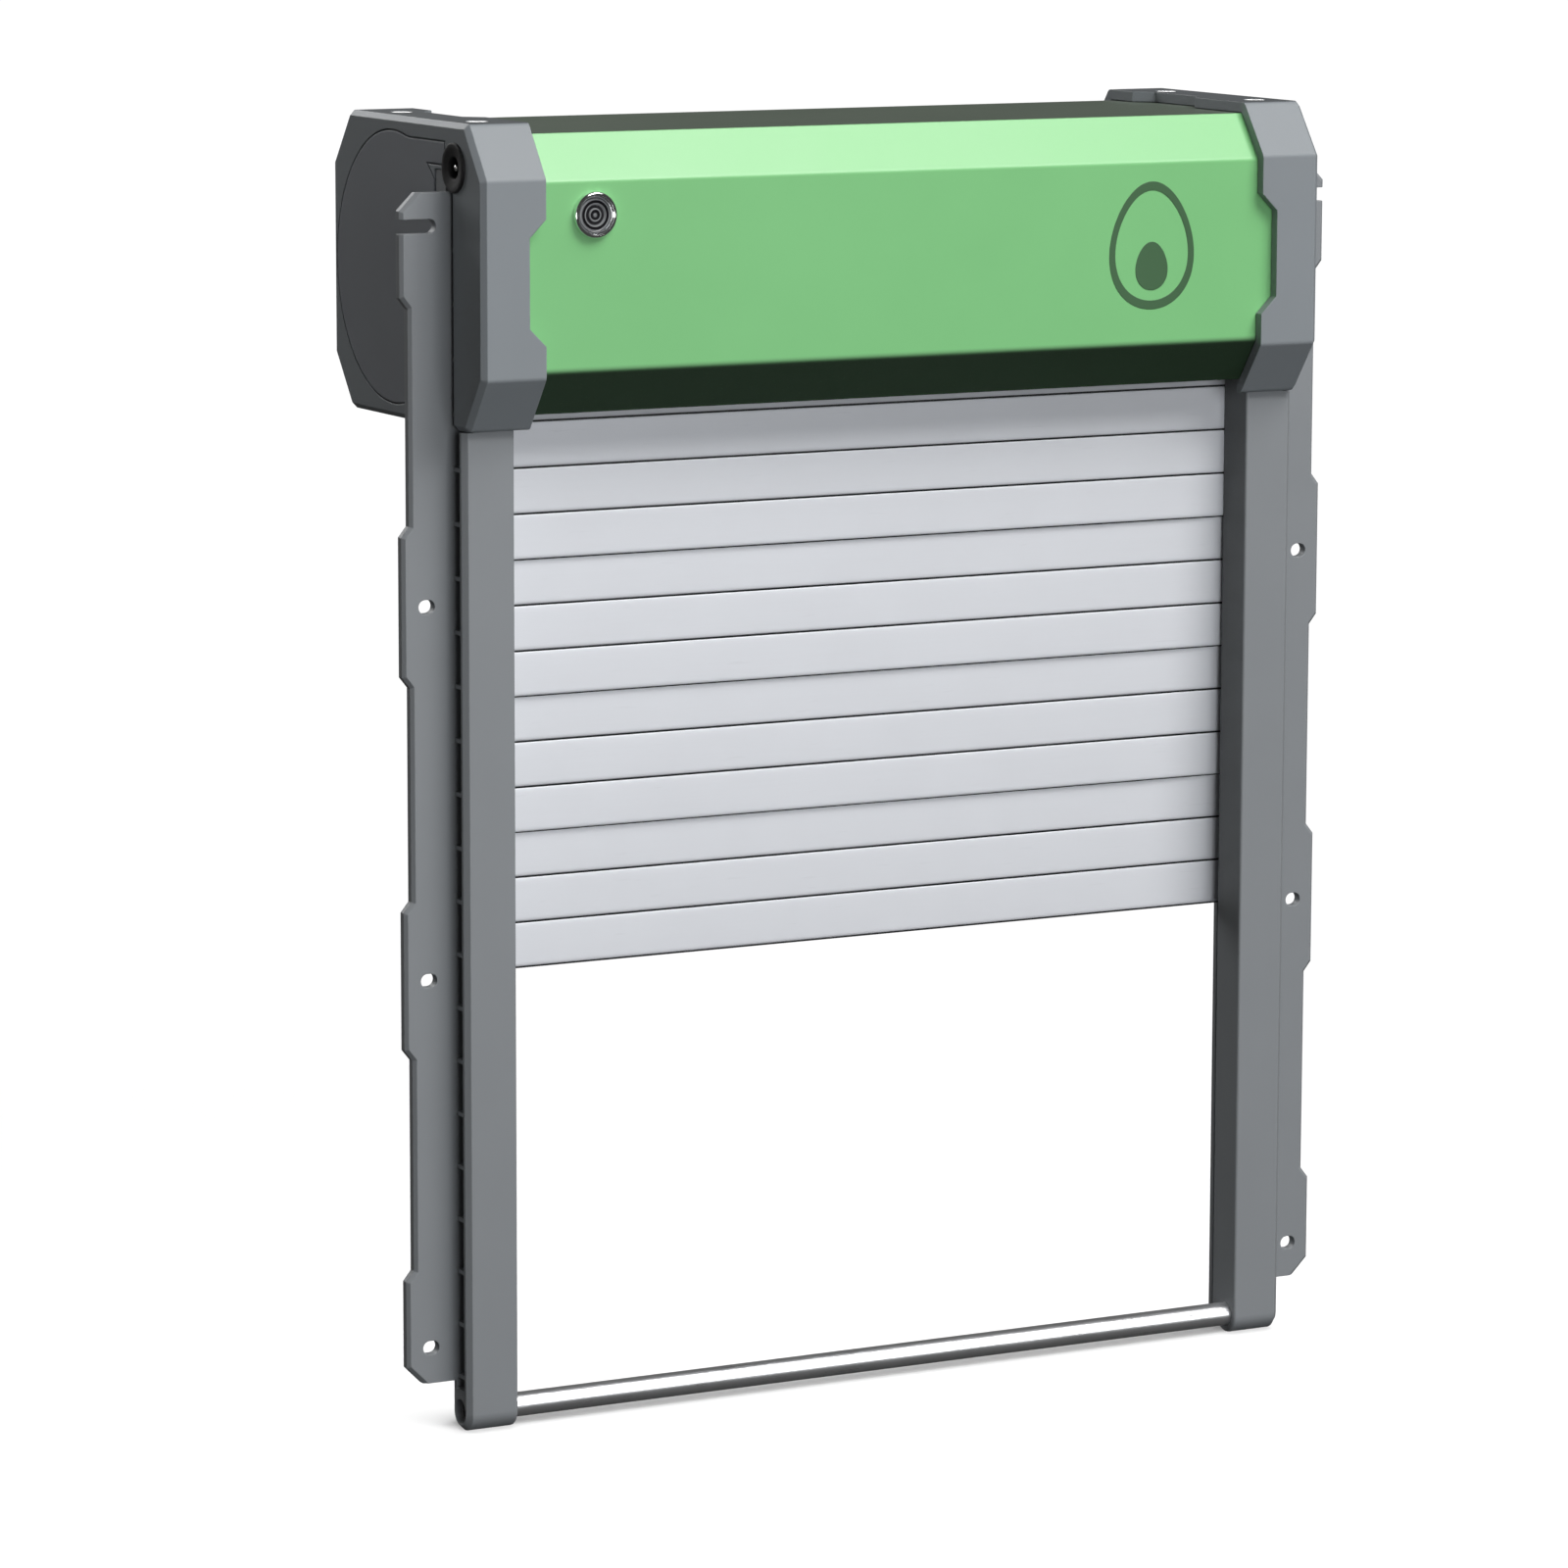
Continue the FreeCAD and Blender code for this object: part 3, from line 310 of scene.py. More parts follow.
@dataclass(frozen=True)
class MouldedPlastic:
    """Injection-moulded plastic with a fine grain, paler edges that are partly rubbed wear and partly a
    painted highlight, and upward faces darkened as painted shade.
    """

    name: str
    colour: Colour
    roughness: float = 0.5
    grain: float = 0.00045
    depth: float = 0.000012
    mottle: float = 0.05
    cloud: float = 0.022
    flow: float = 0.09
    wear: float = 0.004
    # The next two fields pale the corners: partly rubbed wear, partly a painted highlight.
    rub_and_sheen: float = 0.25
    rub_and_sheen_factor: float = 1.7
    # Factor that darkens upward faces as painted shade on the tops, or 0 for none.
    painted_top_shade: float = 0.0
    ease: float = 0.0004

    def build(self) -> Material:
        """Build the material."""
        graph = Graph(self.name)
        grain = graph.noise(self.grain, 3)
        cloud = graph.noise(self.cloud, 4)
        flow = graph.noise(self.flow, 1, graph.stretched(Axis.Z, 0.3))
        edge = graph.edges(2 * self.ease) * graph.noise(self.wear, 3).above(0.3, 0.62)
        base = graph.vary(cloud * 0.6 + flow * 0.4, self.colour, self.mottle)
        # Paler corners: partly rubbed wear, partly a painted highlight along the edges.
        base = graph.blend(edge * self.rub_and_sheen, base, shade(self.colour, self.rub_and_sheen_factor))
        # Upward faces take a darker colour: painted shade on the tops.
        if self.painted_top_shade:
            upward = graph.facing((0, 0, 1)).above(0.85, 0.98)
            base = graph.blend(upward, base, shade(self.colour, self.painted_top_shade))
        rough = self.roughness + grain.swing(0.12) + cloud.swing(0.1) - edge * 0.08
        return graph.finish(Base_Color=base, Roughness=rough, Normal=graph.bump(grain, self.depth, self.ease),
                            IOR=1.46)


@dataclass(frozen=True)
class PaintedSheet:
    """Satin paint on bent sheet, with a fine orange peel and, if asked, a darker band below turn."""

    name: str
    colour: Colour
    low_colour: Colour | None = None
    turn: float = 0.0
    roughness: float = 0.34
    peel: float = 0.0016
    peel_depth: float = 0.00001
    cloud: float = 0.035
    speck: float = 0.0005
    wear: float = 0.003
    coat: float = 0.12
    low_rough: float = 0.3

    def build(self) -> Material:
        """Build the material."""
        graph = Graph(self.name)
        peel = graph.noise(self.peel, 1)
        cloud = graph.noise(self.cloud, 4)
        speck = graph.noise(self.speck, 0).above(0.74, 0.8)
        base = graph.vary(cloud, self.colour, 0.035)
        rough = self.roughness + cloud.swing(0.1) + peel.swing(0.05)
        coat: Wire | float = self.coat
        if self.low_colour:
            upper = graph.height(Axis.Z).above(self.turn - 0.0016, self.turn + 0.0006)
            base = graph.blend(upper, graph.vary(cloud, self.low_colour, 0.15), base)
            coat = upper * self.coat
            rough = rough + (1.0 - upper) * self.low_rough
        edge = graph.edges(0.0006) * graph.noise(self.wear, 3).above(0.4, 0.6)
        base = graph.blend(edge * 0.15 + speck * 0.05, base, shade(self.colour, 0.7))
        normal = graph.bump(peel, self.peel_depth, 0.0003)
        return graph.finish(Base_Color=base, Roughness=rough, Normal=normal, Coat_Weight=coat,
                            Coat_Roughness=0.28)


@dataclass(frozen=True)
class DrawnMetal:
    """Rolled, drawn or turned metal with fine lines along one axis."""

    name: str
    colour: Colour
    along: Axis
    metallic: float = 1.0
    roughness: float = 0.3
    line: float = 0.0003
    depth: float = 0.000003
    tarnish: float = 0.08
    cloud: float = 0.018
    scuff: float = 0.0012

    def build(self) -> Material:
        """Build the material."""
        graph = Graph(self.name)
        lines = graph.noise(self.line, 3, graph.stretched(self.along, 0.012))
        cloud = graph.noise(self.cloud, 4)
        scuff = graph.noise(self.scuff, 2, graph.stretched(self.along, 0.1)).above(0.66, 0.78)
        base = graph.vary(lines * 0.5 + cloud * 0.5, self.colour, self.tarnish)
        base = graph.blend(scuff * 0.12, base, shade(self.colour, 0.75))
        rough = self.roughness + lines.swing(0.14) + cloud.swing(0.08) + scuff * 0.08
        return graph.finish(Base_Color=base, Roughness=rough, Metallic=self.metallic,
                            Normal=graph.bump(lines, self.depth))


@dataclass(frozen=True)
class Rubber:
    """Matt extruded rubber with a dusty bloom."""

    name: str
    colour: Colour
    roughness: float = 0.72
    bloom: float = 0.006
    pores: float = 0.0003
    pore_depth: float = 0.00003

    def build(self) -> Material:
        """Build the material."""
        graph = Graph(self.name)
        bloom = graph.noise(self.bloom, 5)
        base = graph.blend(bloom.above(0.45, 0.75), self.colour, shade(self.colour, 2.2))
        return graph.finish(Base_Color=base, Roughness=self.roughness + bloom.swing(0.2),
                            Normal=graph.bump(graph.noise(self.pores, 2), self.pore_depth, 0.0002))


@dataclass(frozen=True)
class DarkGlass:
    """Smoked lens plastic with pale rings about its centre, painted highlights on its ridges, and dust."""

    name: str
    colour: Colour
    centre: Vector
    ring: float = 0.00135
    # Colour of the pale rings: painted highlights on the lens ridges.
    pale: Colour = (0.3, 0.31, 0.32)
    dusted: Colour = (0.3, 0.3, 0.3)
    roughness: float = 0.08
    dust: float = 0.0006
    swirl: float = 0.002
    swirl_depth: float = 0.000006

    def build(self) -> Material:
        """Build the material."""
        graph = Graph(self.name)
        dust = graph.noise(self.dust, 3).above(0.6, 0.8)
        swirl = graph.noise(self.swirl, 2)
        flat = graph.vector("MULTIPLY", graph.vector("SUBTRACT", graph.place, self.centre), (1, 0, 1))
        reach = graph.vector("LENGTH", flat, output="Value")
        wave = graph.node("ShaderNodeMath", {"operation": "SINE"}, {0: reach * (2 * math.pi / self.ring)})
        base = graph.blend(swirl, self.colour, shade(self.colour, 1.8))
        # Pale rings painted into the colour: painted highlights on the ridges.
        base = graph.blend(wave.above(0.1, 0.7), base, self.pale)
        base = graph.blend(dust * 0.1, base, self.dusted)
        return graph.finish(Base_Color=base, Roughness=self.roughness + dust * 0.25 + swirl * 0.05,
                            Normal=graph.bump(swirl, self.swirl_depth), Coat_Weight=0.6, Coat_Roughness=0.05)


@dataclass(frozen=True)
class BoardLaminate:
    """Circuit board laminate: green mask over a net of copper tracks."""

    name: str
    colour: Colour
    track: Colour
    track_scale: float = 190.0
    track_depth: float = 0.00004
    cloud: float = 0.004

    def build(self) -> Material:
        """Build the material."""
        graph = Graph(self.name)
        turned_place = graph.node("ShaderNodeVectorRotate", {"rotation_type": "X_AXIS"},
                                  {"Vector": graph.place, "Angle": math.pi / 2})
        inputs = {"Vector": turned_place, "Scale": self.track_scale, "Mortar Size": 0.035, "Row Height": 0.4,
                  "Brick Width": 1.7, "Color1": (0, 0, 0, 1), "Color2": (0, 0, 0, 1), "Mortar": (1, 1, 1, 1)}
        tracks = graph.node("ShaderNodeTexBrick", {"offset": 0.37}, inputs, output="Fac")
        cloud = graph.noise(self.cloud, 3)
        base = graph.blend(tracks, graph.vary(cloud, self.colour, 0.15), self.track)
        return graph.finish(Base_Color=base, Roughness=0.3 + cloud * 0.15,
                            Normal=graph.bump(tracks, self.track_depth))


@dataclass(frozen=True)
class FloorWash:
    """Plain pale floor that fades into the pale surround between two distances."""

    name: str
    glow: float = 0.06
    near: float = 0.25
    far: float = 0.7
    grit: float = 0.01
    dark: Colour = (0.93, 0.93, 0.93)
    light: Colour = (0.96, 0.96, 0.96)

    def build(self) -> Material:
        """Build the material."""
        graph = Graph(self.name)
        reach = graph.vector("LENGTH", graph.place, output="Value")
        pale = graph.blend(graph.noise(self.grit, 4), self.dark, self.light)
        matt = graph.node("ShaderNodeBsdfDiffuse", inputs={"Color": pale})
        lit = graph.node("ShaderNodeAddShader", inputs={0: matt, 1: graph.glow(self.glow)})
        faded = {0: reach.above(self.near, self.far), 1: lit, 2: graph.glow(WHITE_GLOW)}
        return graph.close(graph.node("ShaderNodeMixShader", inputs=faded))


class Finishes:
    """Every finish of the door, each built once."""

    band_tall = 0.0132

    def __init__(self) -> None:
        """Build the materials."""
        band_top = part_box("front_cover")[0].z + self.band_tall
        # The caps' upward faces get painted shade.
        self.cap = MouldedPlastic("cap_grey_plastic", tone(137, 143, 148), painted_top_shade=0.4).build()
        self.plate = MouldedPlastic("side_plate_plastic", tone(134, 138, 145), roughness=0.56,
                                    mottle=0.04).build()
        self.rail = MouldedPlastic("rail_grey_plastic", tone(139, 143, 147), roughness=0.48,
                                   grain=0.0006).build()
        self.green = PaintedSheet("green_paint", tone(132, 203, 135), tone(34, 58, 36), band_top).build()
        self.dark = PaintedSheet("dark_cover_paint", tone(87, 98, 87), roughness=0.42, coat=0.1).build()
        self.emblem = PaintedSheet("emblem_ink", tone(70, 106, 73), roughness=0.4, peel=0.0008,
                                   coat=0.15).build()
        self.steel = DrawnMetal("polished_tube_steel", (0.72, 0.73, 0.75), Axis.X, metallic=0.9,
                                depth=0.000001).build()
        self.slat = DrawnMetal("slat_aluminium_satin", tone(237, 240, 246), Axis.X, metallic=0.2,
                               roughness=0.46, tarnish=0.025).build()
        # Dark finish for the slat tongues: painted shade in the joint gaps.
        self.hinge = DrawnMetal("slat_joint_painted_shade", (0.035, 0.037, 0.04), Axis.X, metallic=0.3,
                                roughness=0.6).build()
        self.roller = DrawnMetal("roller_aluminium_mill", (0.78, 0.79, 0.8), Axis.X, roughness=0.34).build()
        self.motor = DrawnMetal("motor_zinc_steel", (0.55, 0.56, 0.57), Axis.X, roughness=0.38).build()
        self.chrome = DrawnMetal("bezel_chrome_plate", (0.86, 0.87, 0.88), Axis.Y, roughness=0.12,
                                 depth=0.000001, tarnish=0.04).build()
        self.screw = DrawnMetal("screw_zinc_steel", (0.95, 0.95, 0.95), Axis.Z, metallic=0.75).build()
        self.black = MouldedPlastic("black_moulded_plastic", (0.011, 0.011, 0.012), roughness=0.64,
                                    rub_and_sheen=0.1).build()
        self.nylon = MouldedPlastic("bearing_nylon_white", (0.72, 0.7, 0.64), roughness=0.45, rub_and_sheen=0.0).build()
        self.relay = MouldedPlastic("relay_blue_plastic", (0.03, 0.09, 0.3), roughness=0.35).build()
        self.terminal = MouldedPlastic("terminal_green_plastic", (0.05, 0.25, 0.11), roughness=0.4).build()
        self.rubber = Rubber("seal_black_rubber", (0.02, 0.02, 0.021)).build()
        lens_low, lens_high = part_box("sensor_lens")
        self.lens = DarkGlass("lens_smoked", (0.012, 0.012, 0.014), (lens_low + lens_high) / 2).build()
        self.board = BoardLaminate("board_green_mask", (0.01, 0.09, 0.04), (0.04, 0.2, 0.09)).build()


# ---- mesh tools

def smooth(mesh: bpy.types.Mesh, angle: float = SMOOTH_ANGLE) -> None:
    """Shade a mesh smooth, except across edges sharper than an angle in degrees."""
    for face in mesh.polygons:
        face.use_smooth = True
    mesh.set_sharp_from_angle(angle=math.radians(angle))


def to_piece(name: str, shape: Shape, angle: float = SMOOTH_ANGLE) -> Piece:
    """Turn a bmesh into a scene object.

    Args:
        name: the piece's name.
        shape: the geometry, freed afterwards.
        angle: edges sharper than this stay sharp.

    Returns:
        The new object.
    """
    bmesh.ops.remove_doubles(shape, verts=shape.verts, dist=WELD)
    bmesh.ops.recalc_face_normals(shape, faces=shape.faces)
    mesh = bpy.data.meshes.new(name)
    shape.to_mesh(mesh)
    shape.free()
    smooth(mesh, angle)
    piece = bpy.data.objects.new(name, mesh)
    bpy.context.scene.collection.objects.link(piece)
    return piece


def measure(node: str, axis: Axis) -> tuple[Vector, float, float]:
    """Return a round node's axis point at its low end, its radius and its length."""
    low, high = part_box(node)
    size, origin = high - low, (low + high) / 2
    origin[axis.value] = low[axis.value]
    return origin, size[(axis.value + 2) % 3] / 2, size[axis.value]


def arc(centre: Point2, radius: Point2 | float, start: float, end: float, steps: int = 6) -> list[Point2]:
    """Return points along an elliptical arc, with angles in degrees."""
    wide, tall = radius if isinstance(radius, tuple) else (radius, radius)
    angles = [math.radians(start + (end - start) * step / steps) for step in range(steps + 1)]
    return [(centre[0] + wide * math.cos(turn), centre[1] + tall * math.sin(turn)) for turn in angles]


def eased(points: Sequence[Point2], radius: float, steps: int = 4) -> list[Point2]:
    """Return a closed outline with its corners rounded."""
    rounded = []
    for index, point in enumerate(points):
        here = Vector(point)
        back, ahead = Vector(points[index - 1]) - here, Vector(points[(index + 1) % len(points)]) - here
        reach = radius / math.tan(back.angle(ahead) / 2)
        start, end = here + back.normalized() * reach, here + ahead.normalized() * reach
        for share in (step / steps for step in range(steps + 1)):
            spot = start * (1 - share) ** 2 + here * (2 * share * (1 - share)) + end * share ** 2
            rounded.append(tuple(spot))
    return rounded


def spread(low: float, high: float, count: int) -> list[float]:
    """Return where each of a number of equal shares of a length starts."""
    return [low + (high - low) * index / count for index in range(count)]


def repeated(starts: Iterable[float], pattern: Sequence[Point2]) -> list[Point2]:
    """Return a pattern of (along, radius) points, moved along to each start in turn."""
    return [(start + along, radius) for start in starts for along, radius in pattern]


@dataclass(frozen=True)
class Thread:
    """Sharp ridges on a turned piece."""

    deep: float
    rise: float
    turns: int

    def along(self, start: float, end: float, crest: float) -> list[Point2]:
        """Return the profile of a threaded length with its crests at a radius."""
        ridge = [(0.0, crest - self.deep), (self.rise, crest)]
        return repeated(spread(start, end, self.turns), ridge)


@dataclass(frozen=True)
class Groove:
    """A groove with sloped sides round a turned piece."""

    deep: float
    slope: float
    wide: float

    def at(self, starts: Iterable[float], radius: float) -> list[Point2]:
        """Return the profile of a round face with a groove from each start."""
        floor = radius - self.deep
        return repeated(starts, [(0.0, radius), (self.slope, floor), (self.wide - self.slope, floor),
                                 (self.wide, radius)])


def blunt_end(long: float, radius: float, ease: float) -> list[Point2]:
    """Return the profile of a solid's far end with an eased rim."""
    return [(long - ease, radius), (long, radius - ease), (long, 0.0)]


def bridge(shape: Shape, first: Loop, second: Loop) -> None:
    """Join two loops of vertices by faces; a loop of one vertex is a tip."""
    count = max(len(first), len(second))
    for index in range(count):
        following = (index + 1) % count
        corners = [first[index % len(first)], first[following % len(first)],
                   second[following % len(second)], second[index % len(second)]]
        unique = list(dict.fromkeys(corners))
        if len(unique) > 2:
            shape.faces.new(unique)


def add_turned(shape: Shape, profile: Sequence[Point2], origin: Vector, axis: Axis,
               segments: int, closed: bool = False) -> None:
    """Add a body of revolution to a bmesh.

    Args:
        shape: the bmesh to add to.
        profile: (along, radius) pairs.
        origin: the axis's zero point.
        axis: the direction of the axis.
        segments: divisions of the turn.
        closed: whether the profile is a loop, as on a tube.
    """
    along, across, upright = axis.basis()
    turns = [2 * math.pi * index / segments for index in range(segments)]
    loops = []
    for distance, radius in profile:
        centre = origin + along * distance
        places = [centre] if radius < WELD else [
            centre + across * (radius * math.cos(turn)) + upright * (radius * math.sin(turn))
            for turn in turns]
        loops.append([shape.verts.new(place) for place in places])
    for first, second in zip(loops, loops[1:] + (loops[:1] if closed else [])):
        bridge(shape, first, second)


def turned(name: str, profile: Sequence[Point2], origin: Vector, axis: Axis, segments: int,
           closed: bool = False) -> Piece:
    """Make a body of revolution as a piece."""
    shape = bmesh.new()
    add_turned(shape, profile, origin, axis, segments, closed)
    return to_piece(name, shape)


def drawn(name: str, outline: Sequence[Point2], low: float, high: float, axis: Axis) -> Piece:
    """Make a piece from an outline extruded along an axis, with closed ends."""
    shape = bmesh.new()
    along, across, upright = axis.basis()
    near, far = [[shape.verts.new(along * distance + across * a + upright * b) for a, b in outline]
                 for distance in (low, high)]
    bridge(shape, near, far)
    shape.faces.new(list(reversed(near)))
    shape.faces.new(far)
    return to_piece(name, shape)


def block(low: Sequence[float], high: Sequence[float], ease: float) -> Shape:
    """Return a box between two corners with its edges eased."""
    shape = bmesh.new()
    bmesh.ops.create_cube(shape, size=1.0)
    middle = [(a + b) / 2 for a, b in zip(low, high)]
    size = [b - a for a, b in zip(low, high)]
    placed = Matrix.Translation(middle) @ Matrix.Diagonal((*size, 1))
    bmesh.ops.transform(shape, matrix=placed, verts=shape.verts)
    bmesh.ops.bevel(shape, geom=shape.edges[:], offset=ease, segments=2, affect="EDGES", profile=0.5)
    return shape


def joined(shapes: Iterable[Shape]) -> Shape:
    """Gather several bmeshes in one."""
    whole = bmesh.new()
    for shape in shapes:
        mesh = bpy.data.meshes.new("gathered")
        shape.to_mesh(mesh)
        shape.free()
        whole.from_mesh(mesh)
        bpy.data.meshes.remove(mesh)
    return whole


def carve(piece: Piece, name: str, shapes: Iterable[Shape]) -> None:
    """Take the volumes of some shapes away from a piece, each under the given name."""
    for shape in shapes:
        cutter = to_piece(name, shape)
        trim = piece.modifiers.new("carve", "BOOLEAN")
        trim.operation = "DIFFERENCE"
        trim.solver = "EXACT"
        trim.object = cutter
        bpy.context.view_layer.update()
        graph = bpy.context.evaluated_depsgraph_get()
        carved = bpy.data.meshes.new_from_object(piece.evaluated_get(graph))
        piece.modifiers.remove(trim)
        old = piece.data
        piece.data = carved
        smooth(carved)
        bpy.data.meshes.remove(old)
        bpy.data.objects.remove(cutter)


def hex_nut(name: str, node: str, axis: Axis, bore: float, count: int = 48) -> Piece:
    """Make a six-sided nut inside the box of a node.

    Args:
        name: the piece's name.
        node: the node that it stands for.
        axis: the direction of its bore.
        bore: the bore's radius.
        count: points round the nut.

    Returns:
        The nut.
    """
    low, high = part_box(node)
    centre, _, thick = measure(node, axis)
    radius = min((high[side] - low[side]) / 2 for side in range(3) if side != axis.value)
    along, wide, upright = axis.basis()
    sixth, ease, narrow = math.pi / 3, 0.0003, 0.955
    shape = bmesh.new()
    loops = []
    for depth, rim in ((0, narrow), (ease, 1), (thick - ease, 1), (thick, narrow), (thick, 0), (0, 0)):
        loop = []
        for turn in (2 * math.pi * index / count for index in range(count)):
            flat = min(1.0, math.cos(sixth / 2) / math.cos(turn % sixth - sixth / 2))
            reach = radius * rim * flat if rim else bore
            loop.append(shape.verts.new(centre + along * depth + wide * (reach * math.cos(turn))
                                        + upright * (reach * math.sin(turn))))
        loops.append(loop)
    for first, second in zip(loops, loops[1:] + loops[:1]):
        bridge(shape, first, second)
    return to_piece(name, shape, angle=25)


# ---- sub-assemblies

@dataclass
class Assembly:
    """A group of pieces that is built and dressed together."""

    finishes: Finishes

    def dress(self, nodes: Iterable[str], finish: Material) -> None:
        """Give carried-over nodes their finish."""
        for node in nodes:
            frame["nodes"][node].material_slots[0].material = finish
            log.info("dressed %s with %s", node, finish.name)

    def stand_in(self, piece: Piece, finish: Material, slot: Slot, node: str) -> None:
        """Let a finer piece stand for a node and move with the node's body."""
        piece.data.materials.append(finish)
        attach(piece, body_of(frame["nodes"][node])[0])
        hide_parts(node)
        log.info("%s stands for %s", piece.name, node)

    def extra(self, piece: Piece, finish: Material, slot: Slot) -> None:
        """Add a fixed piece that no node stands for."""
        piece.data.materials.append(finish)
        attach(piece, MAIN_BODY)
        log.info("added %s", piece.name)


@dataclass
class Head(Assembly):
    """End caps, side plates, covers, emblem and cap screws."""

    emblem_across: float = 0.080
    emblem_up: float = 0.0021
    emblem_tall: float = 0.037
    emblem_line: float = 0.0026
    emblem_proud: float = 0.00008
    emblem_sunk: float = 0.00005
    egg_wide: float = 0.38
    egg_taper: float = 0.16
    yolk_share: float = 0.38
    yolk_sink: float = 0.16
    screw_radius: float = 0.0030
    head_tall: float = 0.0014
    head_ease: float = 0.0002
    head_dome: float = 0.00012
    shank_radius: float = 0.0013
    point_radius: float = 0.0007
    thread: Thread = Thread(0.0003, 0.0002, 9)
    thread_clear: float = 0.0006
    cross_long: float = 0.0036
    cross_wide: float = 0.0007
    cross_deep: float = 0.0009
    cross_past: float = 0.001
    cross_ease: float = 0.0001

    def build(self) -> None:
        """Build and dress every piece."""
        self.dress(["end_cap_left", "end_cap_right"], self.finishes.cap)
        self.dress(["side_plate_left", "side_plate_right"], self.finishes.plate)
        self.dress(["front_cover"], self.finishes.green)
        self.dress(["rear_cover"], self.finishes.dark)
        self.build_emblem()
        self.build_screws()

    def egg(self, tall: float, steps: int = 72) -> list[Point2]:
        """Return an egg outline about its middle, broad end down."""
        points = []
        for turn in (2 * math.pi * step / steps for step in range(steps)):
            wide = self.egg_wide * tall * (1 - self.egg_taper * math.sin(turn))
            points.append((wide * math.cos(turn), tall / 2 * math.sin(turn)))
        return points

    def build_emblem(self) -> None:
        """Build a plain egg ring with a small egg inside, as a thin inlay on the front cover."""
        low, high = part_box("front_cover")
        height = (low.z + high.z) / 2 + self.emblem_up
        back, front = low.y + self.emblem_sunk, low.y - self.emblem_proud
        outer, inner = self.egg(self.emblem_tall), self.egg(self.emblem_tall - 2 * self.emblem_line)
        sunk = self.yolk_sink * self.emblem_tall
        yolk = [(a, b - sunk) for a, b in self.egg(self.yolk_share * self.emblem_tall)]
        shape = bmesh.new()
        loops = [[shape.verts.new((self.emblem_across + a, depth, height + b)) for a, b in outline]
                 for outline, depth in ((outer, back), (outer, front), (inner, front), (inner, back),
                                        (yolk, back), (yolk, front))]
        ring, rims = loops[:4], loops[4:]
        for first, second in zip(ring, ring[1:] + ring[:1]):
            bridge(shape, first, second)
        bridge(shape, *rims)
        for rim in rims:
            shape.faces.new(rim)
        self.extra(to_piece("egg_emblem", shape), self.finishes.emblem, Slot.GREEN)

    def build_screws(self) -> None:
        """Build the four cross-head screws of the end caps in one piece."""
        low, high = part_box("cap_screws")
        radius, seat = self.screw_radius, high.z - self.head_tall
        tip, clear, shank = low.z - seat, self.thread_clear, self.shank_radius
        profile = [(tip, 0.0), (tip, self.point_radius)] + self.thread.along(tip + clear, -clear, shank)
        profile += [(0.0, shank - self.thread.deep), (0.0, radius - self.head_ease), (self.head_ease, radius)]
        profile += arc((self.head_tall - self.head_dome, 0), (self.head_dome, radius), 90, 0)
        body, cross = bmesh.new(), []
        arms = (self.cross_long / 2, self.cross_wide / 2)
        for across in (low.x + radius, high.x - radius):
            for deep in (low.y + radius, high.y - radius):
                add_turned(body, profile, Vector((across, deep, seat)), Axis.Z, segments=48)
                for wide, long in (arms, arms[::-1]):
                    foot = (across - wide, deep - long, high.z - self.cross_deep)
                    top = (across + wide, deep + long, high.z + self.cross_past)
                    cross.append(block(foot, top, self.cross_ease))
        piece = to_piece("cap_screws_cross_head", body)
        carve(piece, "screwdriver_cross", cross)
        self.stand_in(piece, self.finishes.screw, Slot.SCREW, "cap_screws")


